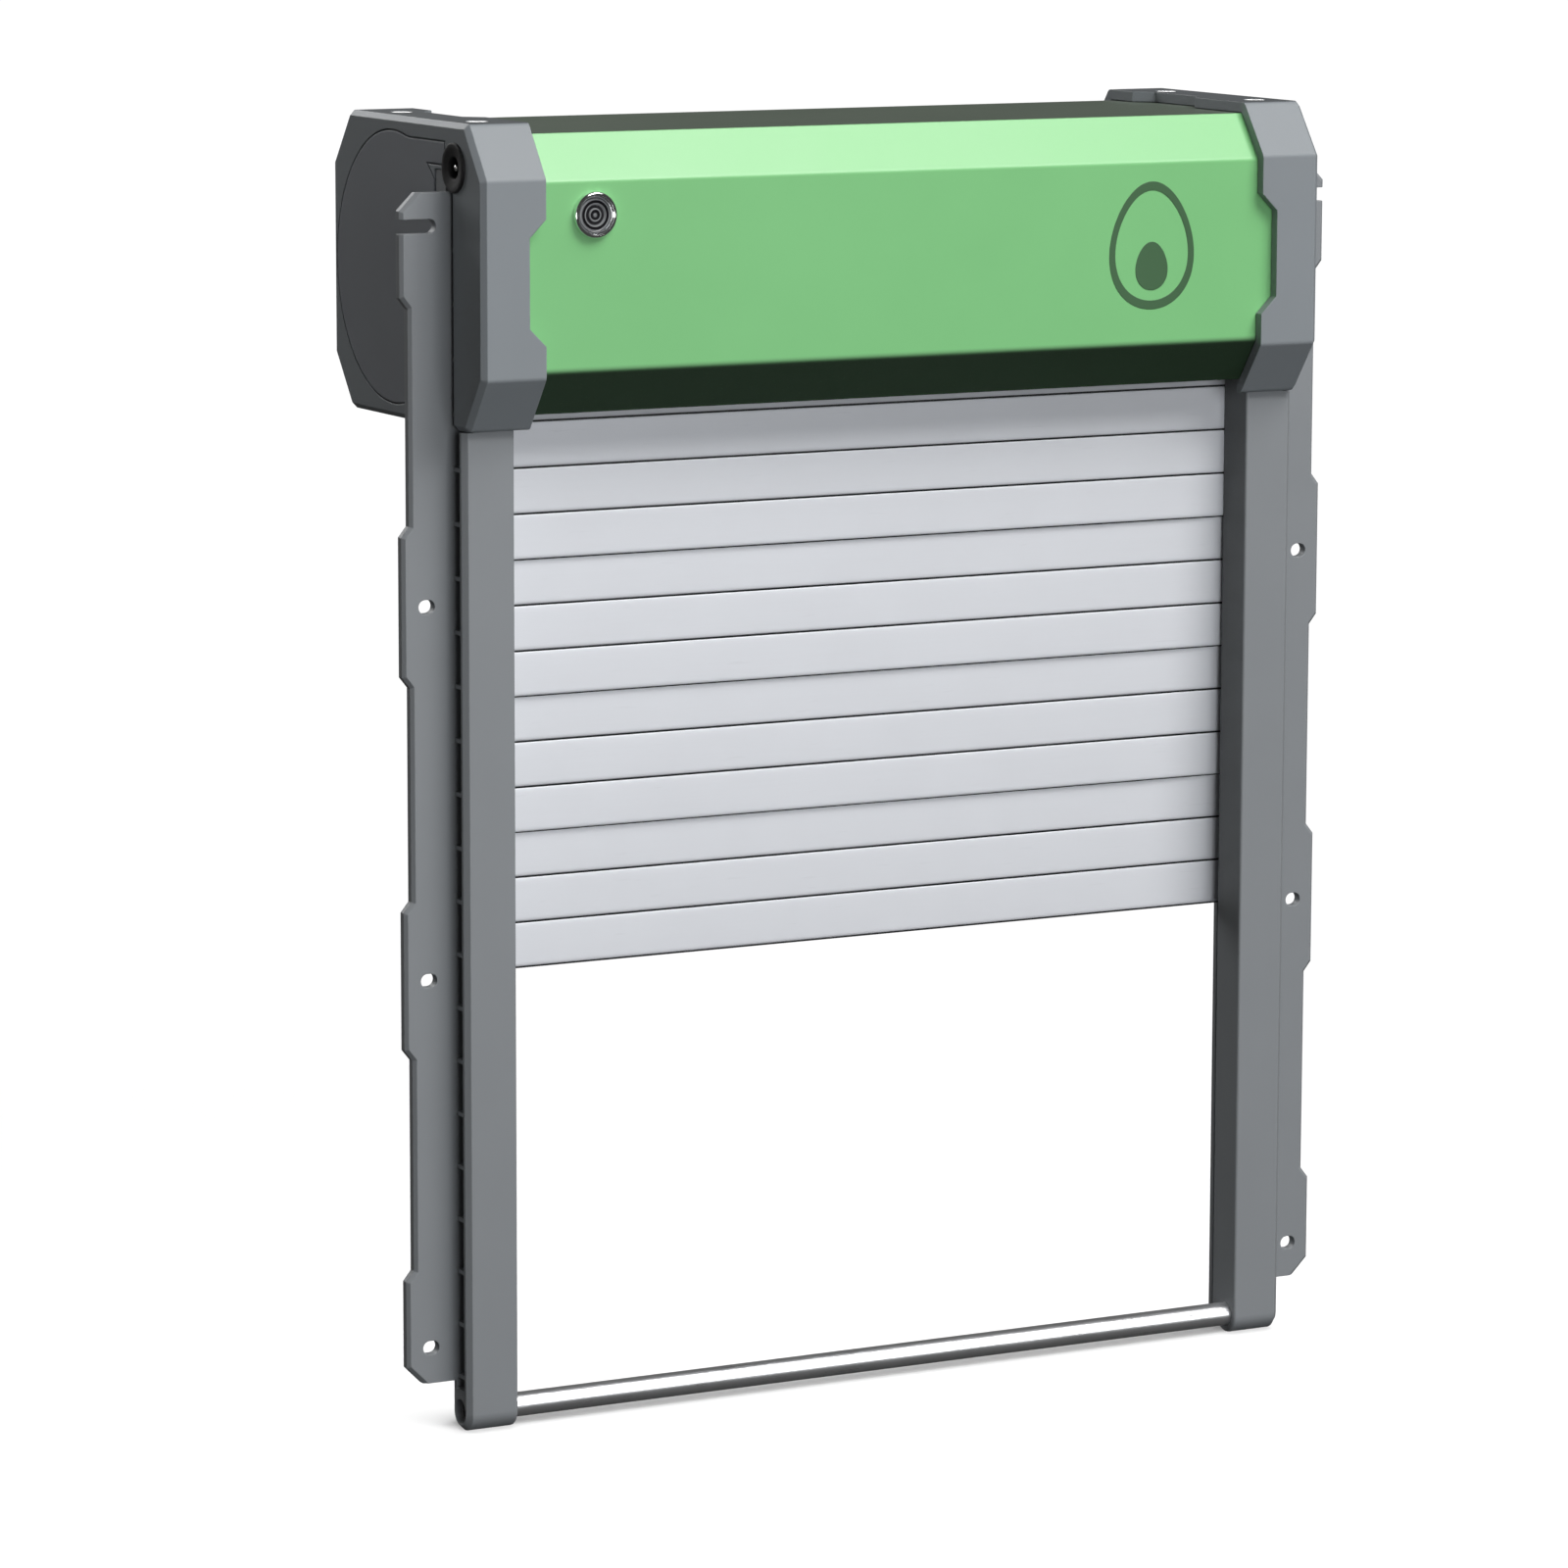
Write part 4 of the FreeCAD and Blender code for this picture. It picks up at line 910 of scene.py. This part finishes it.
@dataclass
class SensorEye(Assembly):
    """Light sensor: bright bezel, ringed lens, cell and nut."""

    rim_round: float = 0.0009
    flange: float = 0.0020
    lip_round: float = 0.0006
    lip_wide: float = 0.0014
    throat: tuple[Point2, Point2] = ((0.0018, 0.0), (0.0009, 0.0005))
    barrel_inset: float = 0.0015
    thread: Thread = Thread(0.00025, 0.0003, 9)
    thread_start: float = 0.0021
    thread_clear: float = 0.0005
    nut_bore: float = 0.00505
    eye: tuple[Point2, Point2] = ((0.00018, 0.0), (0.00022, 0.0003))
    ring_start: float = 0.0005
    ring_margin: float = 0.0006
    ring_count: int = 5
    ring_wave: tuple[Point2, ...] = ((0.0005, 0.0), (0.00008, 0.30), (0.00008, 0.55), (0.0005, 0.85))
    lens_edge: float = 0.0004

    def build(self) -> None:
        """Build and dress every piece."""
        self.build_bezel()
        self.build_lens()
        self.dress(["light_cell"], self.finishes.black)
        self.stand_in(hex_nut("sensor_nut_hex", "sensor_nut", Axis.Y, self.nut_bore), self.finishes.chrome,
                      Slot.CHROME, "sensor_nut")

    def build_bezel(self) -> None:
        """Build the ring with its rolled lip, and the threaded barrel behind it."""
        origin, outer, long = measure("sensor_bezel", Axis.Y)
        bore = measure("sensor_lens", Axis.Y)[1]
        barrel, lip = outer - self.barrel_inset, bore + self.lip_wide
        profile = [(0.0, lip)] + arc((self.rim_round, outer - self.rim_round), self.rim_round, 180, 90, 8)
        profile += [(self.flange, outer), (self.flange, barrel - self.thread.deep)]
        profile += self.thread.along(self.thread_start, long - self.thread_clear, barrel)
        profile += [(long, barrel - self.thread.rise), (long, bore)]
        profile += [(deep, bore + wider) for deep, wider in self.throat]
        profile += arc((self.lip_round, lip), self.lip_round, 270, 180)[:-1]
        piece = turned("sensor_bezel_ring", profile, origin, Axis.Y, segments=96, closed=True)
        self.stand_in(piece, self.finishes.chrome, Slot.CHROME, "sensor_bezel")

    def build_lens(self) -> None:
        """Build the lens with its concentric moulded rings round a small central eye."""
        origin, radius, long = measure("sensor_lens", Axis.Y)
        pitch = (radius - self.ring_margin) / self.ring_count
        profile = list(self.eye)
        for ring in range(self.ring_count):
            profile += [(deep, self.ring_start + (ring + share) * pitch) for deep, share in self.ring_wave]
        profile += [(self.lens_edge, radius), (long, radius), (long, 0.0)]
        piece = turned("sensor_lens_ringed", profile, origin, Axis.Y, segments=96)
        self.stand_in(piece, self.finishes.lens, Slot.LENS, "sensor_lens")


@dataclass
class PowerInlet(Assembly):
    """Round power socket with its pin and nut."""

    rim_round: float = 0.0005
    rim_sunk: float = 0.00012
    dish: float = 0.0005
    dish_radius: float = 0.0052
    dish_ease: float = 0.0004
    neck: float = 0.004
    bore: float = 0.003
    bore_ease: float = 0.0003
    end_wall: float = 0.001
    thread: Thread = Thread(0.0002, 0.0004, 8)
    thread_clear: float = 0.0006
    nut_bore: float = 0.00405
    pin_tip: tuple[Point2, ...] = ((0.0, 0.0), (0.0001, 0.45), (0.0003, 0.8), (0.0007, 1.0))

    def build(self) -> None:
        """Build and dress every piece."""
        origin, outer, long = measure("power_socket", Axis.X)
        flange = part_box("side_plate_left")[0].x - origin.x
        neck, bore, back = self.neck, self.bore, long - self.end_wall
        profile = [(self.rim_sunk, self.dish_radius), (0.0, self.dish_radius + self.dish_ease)]
        profile += arc((self.rim_round, outer - self.rim_round), self.rim_round, 180, 90)
        profile += [(flange, outer), (flange, neck)]
        profile += self.thread.along(flange + self.thread_clear, long - self.thread_clear, neck)
        profile += [(long, neck - self.bore_ease), (long, 0.0), (back, 0.0), (back, bore),
                    (self.dish + self.dish_ease, bore), (self.dish, bore + self.bore_ease)]
        piece = turned("power_socket_body", profile, origin, Axis.X, segments=80, closed=True)
        self.stand_in(piece, self.finishes.black, Slot.BLACK, "power_socket")
        pin_origin, thin, reach = measure("socket_pin", Axis.X)
        tip = [(along, share * thin) for along, share in self.pin_tip] + [(reach, thin), (reach, 0.0)]
        pin = turned("socket_pin_turned", tip, pin_origin, Axis.X, segments=40)
        self.stand_in(pin, self.finishes.chrome, Slot.BRASS, "socket_pin")
        self.stand_in(hex_nut("socket_nut_hex", "socket_nut", Axis.X, self.nut_bore), self.finishes.chrome,
                      Slot.BLACK, "socket_nut")


@dataclass
class SideFrame(Assembly):
    """Two rails and the polished tube between their feet."""

    tube_wall: float = 0.0006
    end_ease: float = 0.00025
    tube_lengths: int = 24

    def build(self) -> None:
        """Build and dress every piece."""
        self.dress(["rail_left", "rail_right"], self.finishes.rail)
        origin, radius, long = measure("threshold_tube", Axis.X)
        bore, ease = radius - self.tube_wall, self.end_ease
        profile = [(0.0, radius - ease)]
        profile += [(along, radius) for along in spread(ease, long - ease, self.tube_lengths)]
        profile += [(long - ease, radius), (long, radius - ease), (long, bore), (0.0, bore)]
        piece = turned("threshold_tube_polished", profile, origin, Axis.X, segments=96, closed=True)
        self.stand_in(piece, self.finishes.steel, Slot.STEEL, "threshold_tube")


@dataclass
class Curtain(Assembly):
    """Twenty-four slats with rolled edges, and the seal under the last."""

    tongue: float = 0.0009
    play: float = 0.0001
    line_tall: float = 0.00055
    tongue_thick: float = 0.0003
    roll_tall: float = 0.0016
    roll_deep: float = 0.00016
    foot_tall: float = 0.0012
    foot_deep: float = 0.00028
    seal_ease: float = 0.00022
    hinge_slack: float = 0.00001

    def build(self) -> None:
        """Build and dress every slat and the seal."""
        nodes = sorted(node for node in frame["nodes"] if node.startswith("slat_"))
        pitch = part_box(nodes[0])[0].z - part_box(nodes[1])[0].z
        for node in nodes:
            low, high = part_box(node)
            piece = drawn(f"{node}_rolled", self.section(low, high, pitch), low.x, high.x, Axis.X)
            self.stand_in(piece, self.finishes.slat, Slot.SLAT, node)
            piece.visible_diffuse = False
            # The tongue faces take painted shade for the joint gap.
            self.paint_joint_shade(piece, low.z + pitch - self.line_tall)
        low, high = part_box("bottom_seal")
        corners = [(low.y, low.z), (high.y, low.z), (high.y, high.z), (low.y, high.z)]
        seal = drawn("bottom_seal_strip", eased(corners, self.seal_ease), low.x, high.x, Axis.X)
        self.stand_in(seal, self.finishes.rubber, Slot.RUBBER, "bottom_seal")

    def section(self, low: Vector, high: Vector, pitch: float) -> list[Point2]:
        """Return a slat's section in Y and Z.

        Args:
            low: the slat's lowest corner.
            high: its highest corner.
            pitch: the height that it adds to the curtain.

        Returns:
            The closed outline, front leaf first.
        """
        front, back, base = low.y, high.y, low.z
        middle, top = (front + back) / 2, base + pitch - self.line_tall
        foot, roll = (self.foot_deep, self.foot_tall), (self.roll_deep, self.roll_tall)
        outline = arc((front + foot[0], base + foot[1]), foot, 270, 180)
        outline += arc((front + roll[0], top - roll[1]), roll, 180, 90, 8)
        if high.z - low.z > pitch:
            tongue = back - self.tongue_thick
            outline += [(tongue, top), (tongue, high.z), (back, high.z)]
        else:
            outline += [(back, top)]
        heel = base + self.tongue + self.play
        return outline + [(back, heel), (middle, heel), (middle, base)]

    def paint_joint_shade(self, piece: Piece, height: float) -> None:
        """Give the faces of a slat's tongue, above a height, the dark finish that is painted shade in the
        joint gap.
        """
        piece.data.materials.append(self.finishes.hinge)
        for face in piece.data.polygons:
            if abs(face.normal.x) < 0.5 and face.center.z > height - self.hinge_slack:
                face.material_index = 1


@dataclass
class Drive(Assembly):
    """Roller tube with the geared motor inside it, and its bearings."""

    tube_wall: float = 0.0015
    tube_ease: float = 0.0003
    tube_groove: Groove = Groove(0.0002, 0.0006, 0.0024)
    tube_rings: int = 7
    rim_ease: float = 0.0004
    can_round: float = 0.0012
    can_groove: Groove = Groove(0.0003, 0.0002, 0.001)
    can_grooves: tuple[float, ...] = (0.12, 0.80, 0.88)
    rib_gap: Groove = Groove(0.0005, 0.0003, 0.0018)
    rib_count: int = 6
    rib_margin: float = 0.002

    def build(self) -> None:
        """Build and dress every piece."""
        self.build_tube()
        self.build_motor()
        self.build_gearbox()
        self.dress(["output_shaft"], self.finishes.motor)
        self.dress(["drive_hub", "idler_hub"], self.finishes.black)
        self.dress(["drive_bearing", "idler_bush"], self.finishes.nylon)
        self.dress(["motor_mount", "idler_holder"], self.finishes.black)

    def build_tube(self) -> None:
        """Build the roller tube with eased ends and a row of pressed rings."""
        origin, radius, long = measure("roller_tube", Axis.X)
        bore, ease, half = radius - self.tube_wall, self.tube_ease, self.tube_groove.wide / 2
        starts = spread(-half, long - half, self.tube_rings + 1)[1:]
        profile = [(0.0, radius - ease), (ease, radius)] + self.tube_groove.at(starts, radius)
        profile += [(long - ease, radius), (long, radius - ease), (long, bore), (0.0, bore)]
        piece = turned("roller_tube_ringed", profile, origin, Axis.X, segments=72, closed=True)
        self.stand_in(piece, self.finishes.roller, Slot.ROLLER, "roller_tube")

    def build_motor(self) -> None:
        """Build the motor can with its rolled ends and seam grooves."""
        origin, radius, long = measure("motor_can", Axis.X)
        profile = [(0.0, 0.0)] + arc((self.can_round, radius - self.can_round), self.can_round, 180, 90)
        profile += self.can_groove.at([share * long for share in self.can_grooves], radius)
        profile += blunt_end(long, radius, self.rim_ease)
        self.stand_in(turned("motor_can_rolled", profile, origin, Axis.X, segments=72), self.finishes.motor,
                      Slot.MOTOR, "motor_can")

    def build_gearbox(self) -> None:
        """Build the ring-gear case with its clamping ribs."""
        origin, radius, long = measure("gearbox", Axis.X)
        profile = [(0.0, 0.0), (0.0, radius - self.rim_ease), (self.rim_ease, radius)]
        profile += self.rib_gap.at(spread(self.rib_margin, long - self.rib_margin, self.rib_count), radius)
        profile += blunt_end(long, radius, self.rim_ease)
        self.stand_in(turned("gearbox_ribbed", profile, origin, Axis.X, segments=72), self.finishes.motor,
                      Slot.MOTOR, "gearbox")


@dataclass
class ControlBoard(Assembly):
    """Circuit board and what it carries."""

    relay_wide: float = 0.012
    relay_lid: float = 0.0012
    relay_step: float = 0.0002
    relay_ease: float = 0.0003
    chip_lift: float = 0.0002
    chip_ease: float = 0.00012
    pin_pitch: float = 0.00127
    pin_reach: float = 0.0009
    pin_half: float = 0.0002
    pin_thick: float = 0.0005
    pin_ease: float = 0.00005
    can_neck: tuple[Point2, ...] = ((0, 0.0004), (0.0005, 0), (0.0012, 0), (0.0016, 0.0004), (0.0022, 0))
    can_top: tuple[Point2, ...] = ((0.0005, 0), (0.0001, 0.0004), (0.0001, 0.0008), (0.0003, 0.001))
    ways: int = 6
    terminal_ease: float = 0.0003
    mouth_low: Point3 = (-0.0018, 0.0015, -0.001)
    mouth_high: Point3 = (0.0018, 0.0048, 0.004)
    mouth_ease: float = 0.0002
    head_sunk: float = 0.0005
    head_down: float = 0.003
    head: tuple[Point2, ...] = ((0.0, 0.0), (0.0, 0.0018), (0.0006, 0.0018), (0.0007, 0.0015), (0.0007, 0.0))
    part_size: Point3 = (0.002, 0.0008, 0.0012)
    part_ease: float = 0.0001
    part_start: Point2 = (0.046, 0.006)
    part_pitch: Point2 = (0.0036, 0.005)
    part_rows: int = 2
    part_columns: int = 7

    def build(self) -> None:
        """Build and dress every piece."""
        self.dress(["circuit_board"], self.finishes.board)
        self.dress(["board_screws"], self.finishes.screw)
        self.build_relays()
        self.build_chip()
        self.build_capacitor()
        self.build_terminal()
        self.build_small_parts()

    def build_relays(self) -> None:
        """Build the two relays with eased edges and a lid seam."""
        low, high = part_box("motor_relays")
        wide, step, seam = self.relay_wide, self.relay_step, high.y - self.relay_lid
        shapes = []
        for left in (low.x, high.x - wide):
            right = left + wide
            case = (left + step, low.y, low.z + step), (right - step, seam, high.z - step)
            shapes.append(block(*case, step))
            shapes.append(block((left, seam, low.z), (right, high.y, high.z), self.relay_ease))
        self.stand_in(to_piece("motor_relays_lidded", joined(shapes)), self.finishes.relay, Slot.BLACK,
                      "motor_relays")

    def build_chip(self) -> None:
        """Build the controller chip and the legs down two of its sides."""
        low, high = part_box("controller_chip")
        reach, half = self.pin_reach, self.pin_half
        body = block((low.x + reach, low.y + self.chip_lift, low.z), (high.x - reach, high.y, high.z),
                     self.chip_ease)
        self.stand_in(to_piece("controller_chip_body", body), self.finishes.black, Slot.BLACK,
                      "controller_chip")
        count = int((high.z - low.z) / self.pin_pitch) - 1
        legs = []
        for index in range(count):
            middle = (low.z + high.z) / 2 + (index - (count - 1) / 2) * self.pin_pitch
            for start in (low.x, high.x - reach):
                legs.append(block((start, low.y, middle - half),
                                  (start + reach, low.y + self.pin_thick, middle + half), self.pin_ease))
        self.extra(to_piece("controller_chip_legs", joined(legs)), self.finishes.screw, Slot.SCREW)

    def build_capacitor(self) -> None:
        """Build the electrolytic capacitor with its crimped neck."""
        origin, radius, long = measure("capacitor", Axis.Y)
        profile = [(0.0, 0.0)] + [(along, radius - inset) for along, inset in self.can_neck]
        profile += [(long - along, radius - inset) for along, inset in self.can_top]
        profile += [(long - self.can_top[-1][0], 0.0)]
        self.stand_in(turned("capacitor_can", profile, origin, Axis.Y, segments=56), self.finishes.roller,
                      Slot.MOTOR, "capacitor")

    def build_terminal(self) -> None:
        """Build the terminal block with a wire mouth and a screw for each way."""
        low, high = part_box("terminal_block")
        step = (high.x - low.x) / self.ways
        piece = to_piece("terminal_block_body", block(low, high, self.terminal_ease))
        mouths, heads = [], bmesh.new()
        for way in range(self.ways):
            foot = Vector((low.x + (way + 0.5) * step, low.y, low.z))
            near, far = foot + Vector(self.mouth_low), foot + Vector(self.mouth_high)
            mouths.append(block(near, far, self.mouth_ease))
            origin = Vector((foot.x, high.y - self.head_sunk, high.z - self.head_down))
            add_turned(heads, self.head, origin, Axis.Y, segments=32)
        carve(piece, "wire_mouth", mouths)
        self.stand_in(piece, self.finishes.terminal, Slot.TERMINAL, "terminal_block")
        self.extra(to_piece("terminal_screws", heads), self.finishes.screw, Slot.SCREW)

    def build_small_parts(self) -> None:
        """Build two rows of small surface-mounted parts beside the chip."""
        low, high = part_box("circuit_board")
        bodies = []
        for row in range(self.part_rows):
            for column in range(self.part_columns):
                corner = Vector((low.x + self.part_start[0] + column * self.part_pitch[0], high.y,
                                 low.z + self.part_start[1] + row * self.part_pitch[1]))
                bodies.append(block(corner, corner + Vector(self.part_size), self.part_ease))
        self.extra(to_piece("board_small_parts", joined(bodies)), self.finishes.black, Slot.BLACK)


# ---- studio

@dataclass(frozen=True)
class Softbox:
    """A square area light aimed at the door.

    A level of 1 lights a facing white surface to full white. With only set, it lights that object
    and nothing else; the other lights leave out the floor. With blocked_by set, only those objects
    cast shadows in it.
    """

    name: str
    towards: Point3
    distance: float
    size: float
    level: float
    colour: Colour = (1.0, 1.0, 1.0)
    only: str = ""
    blocked_by: tuple[str, ...] = ()

    def build(self, target: Vector) -> Piece:
        """Build the light."""
        lamp = bpy.data.lights.new(self.name, "AREA")
        lamp.shape = "SQUARE"
        lamp.size = self.size
        lamp.color = self.colour
        lamp.energy = self.level * (math.pi * self.distance) ** 2
        made = bpy.data.objects.new(self.name, lamp)
        direction = Vector(self.towards).normalized()
        made.location = target + direction * self.distance
        made.rotation_mode = "QUATERNION"
        made.rotation_quaternion = direction.to_track_quat("Z", "Y")
        bpy.context.scene.collection.objects.link(made)
        return made


@dataclass
class Studio:
    """Pale floor, pale surround, soft lights and the camera."""

    ambient: float = 0.045
    surround_radius: float = 9.0
    floor_radius: float = 9.0
    floor_drop: float = 0.0002
    camera_place: Point3 = (-0.89468, -1.66632, 0.47675)
    yaw: float = 27.8306
    pitch: float = 9.1684
    roll: float = 0.1442
    lens: float = 149.916
    sensor: float = 36.0
    clip: Point2 = (0.05, 50.0)
    ambient_colour: Colour = (1.0, 0.98, 0.95)
    boxes: list[Softbox] = field(default_factory=lambda: [
        Softbox("key_box", (0.30, -0.52, 0.75), 2.6, 1.5, 0.98, (1.0, 0.985, 0.97)),
        Softbox("front_box", (-0.05, -1.0, 0.08), 2.4, 1.3, 0.44, (0.97, 0.985, 1.0)),
        Softbox("left_box", (-1.0, 0.02, 0.26), 1.9, 1.0, 0.05, (1.0, 0.96, 0.9)),
        Softbox("rear_box", (-0.25, 0.85, 0.55), 1.9, 1.2, 0.45, (1.0, 1.0, 1.0)),
        Softbox("floor_top_box", (0.05, -0.10, 1.0), 1.6, 3.0, 1.3, only="studio_floor",
                blocked_by=("rail_left", "rail_right", "threshold_tube_polished")),
        Softbox("floor_low_box", (0.10, -0.90, 0.50), 2.0, 1.6, 1.6, only="studio_floor",
                blocked_by=("threshold_tube_polished",)),
        Softbox("tube_box", (0.50, -0.85, 0.12), 2.4, 1.0, 0.24, only="threshold_tube_polished"),
        Softbox("bezel_box", (-0.90, -0.45, 0.02), 1.8, 0.5, 0.22, only="sensor_bezel_ring"),
        Softbox("screw_box", (0.47, 0.87, 0.20), 2.2, 0.9, 0.16, only="cap_screws_cross_head"),
    ])

    def build(self) -> None:
        """Build the whole studio."""
        low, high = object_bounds()
        target = (low + high) / 2
        self.build_world()
        floor = self.build_surround()
        for box in self.boxes:
            lamp = box.build(target)
            state = "INCLUDE" if box.only else "EXCLUDE"
            reach = self.group(f"{box.name}_reach", [box.only or floor.name], state)
            lamp.light_linking.receiver_collection = reach
            if box.blocked_by:
                lamp.light_linking.blocker_collection = self.group(f"{box.name}_blockers", box.blocked_by)
        self.build_camera()
        bpy.context.scene.view_settings.view_transform = "Standard"

    def group(self, name: str, members: Iterable[str], state: str = "INCLUDE") -> bpy.types.Collection:
        """Return a light-linking group of named objects, included or excluded.

        Args:
            name: the group's name.
            members: the names of its objects.
            state: INCLUDE or EXCLUDE.

        Returns:
            The group.
        """
        made = bpy.data.collections.new(name)
        for member in members:
            made.objects.link(bpy.data.objects[member])
        for entry in made.collection_objects:
            entry.light_linking.link_state = state
        return made

    def build_world(self) -> None:
        """Set a dim even ambient light."""
        world = bpy.data.worlds.new("studio_ambient")
        world.use_nodes = True
        background = world.node_tree.nodes["Background"]
        background.inputs["Color"].default_value = (*self.ambient_colour, 1)
        background.inputs["Strength"].default_value = self.ambient
        bpy.context.scene.world = world

    def build_surround(self) -> Piece:
        """Build the pale dome behind everything and the floor disc, and return the floor."""
        floor_shape = bmesh.new()
        bmesh.ops.create_circle(floor_shape, cap_ends=True, segments=96, radius=self.floor_radius)
        bmesh.ops.translate(floor_shape, verts=floor_shape.verts, vec=(0, 0, -self.floor_drop))
        floor = to_piece("studio_floor", floor_shape)
        floor.data.materials.append(FloorWash("floor_wash").build())
        dome_shape = bmesh.new()
        bmesh.ops.create_uvsphere(dome_shape, u_segments=64, v_segments=32, radius=self.surround_radius)
        dome = to_piece("studio_surround", dome_shape, 180)
        graph = Graph("surround_white")
        dome.data.materials.append(graph.close(graph.glow(WHITE_GLOW)))
        for kind in ("diffuse", "glossy", "transmission", "shadow"):
            setattr(dome, f"visible_{kind}", False)
        floor.visible_diffuse = False
        floor.visible_glossy = False
        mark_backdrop(floor, dome)
        return floor

    def build_camera(self) -> None:
        """Build the camera at its station."""
        yaw, pitch, roll = (math.radians(angle) for angle in (self.yaw, self.pitch, self.roll))
        right = Vector((math.cos(yaw), -math.sin(yaw), 0))
        ahead = Vector((math.sin(yaw) * math.cos(pitch), math.cos(yaw) * math.cos(pitch), -math.sin(pitch)))
        above = right.cross(ahead)
        across = right * math.cos(roll) + above * math.sin(roll)
        upright = above * math.cos(roll) - right * math.sin(roll)
        lens = bpy.data.cameras.new("door_camera")
        lens.lens = self.lens
        lens.sensor_width = self.sensor
        lens.clip_start, lens.clip_end = self.clip
        camera = bpy.data.objects.new("door_camera", lens)
        columns = Matrix((across, upright, -ahead)).transposed()
        camera.matrix_world = Matrix.Translation(self.camera_place) @ columns.to_4x4()
        bpy.context.scene.collection.objects.link(camera)
        bpy.context.scene.camera = camera


def main() -> None:
    """Build the door's pieces in order, then the studio."""
    logging.basicConfig(level=logging.INFO, format="%(name)s: %(message)s")
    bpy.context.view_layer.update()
    finishes = Finishes()
    groups: list[Callable[[Finishes], Assembly]] = [
        Head, SensorEye, PowerInlet, SideFrame, Curtain, Drive, ControlBoard]
    for group in groups:
        log.info("building %s", group.__name__)
        group(finishes).build()
    Studio().build()


if __name__ == "__main__":
    main()
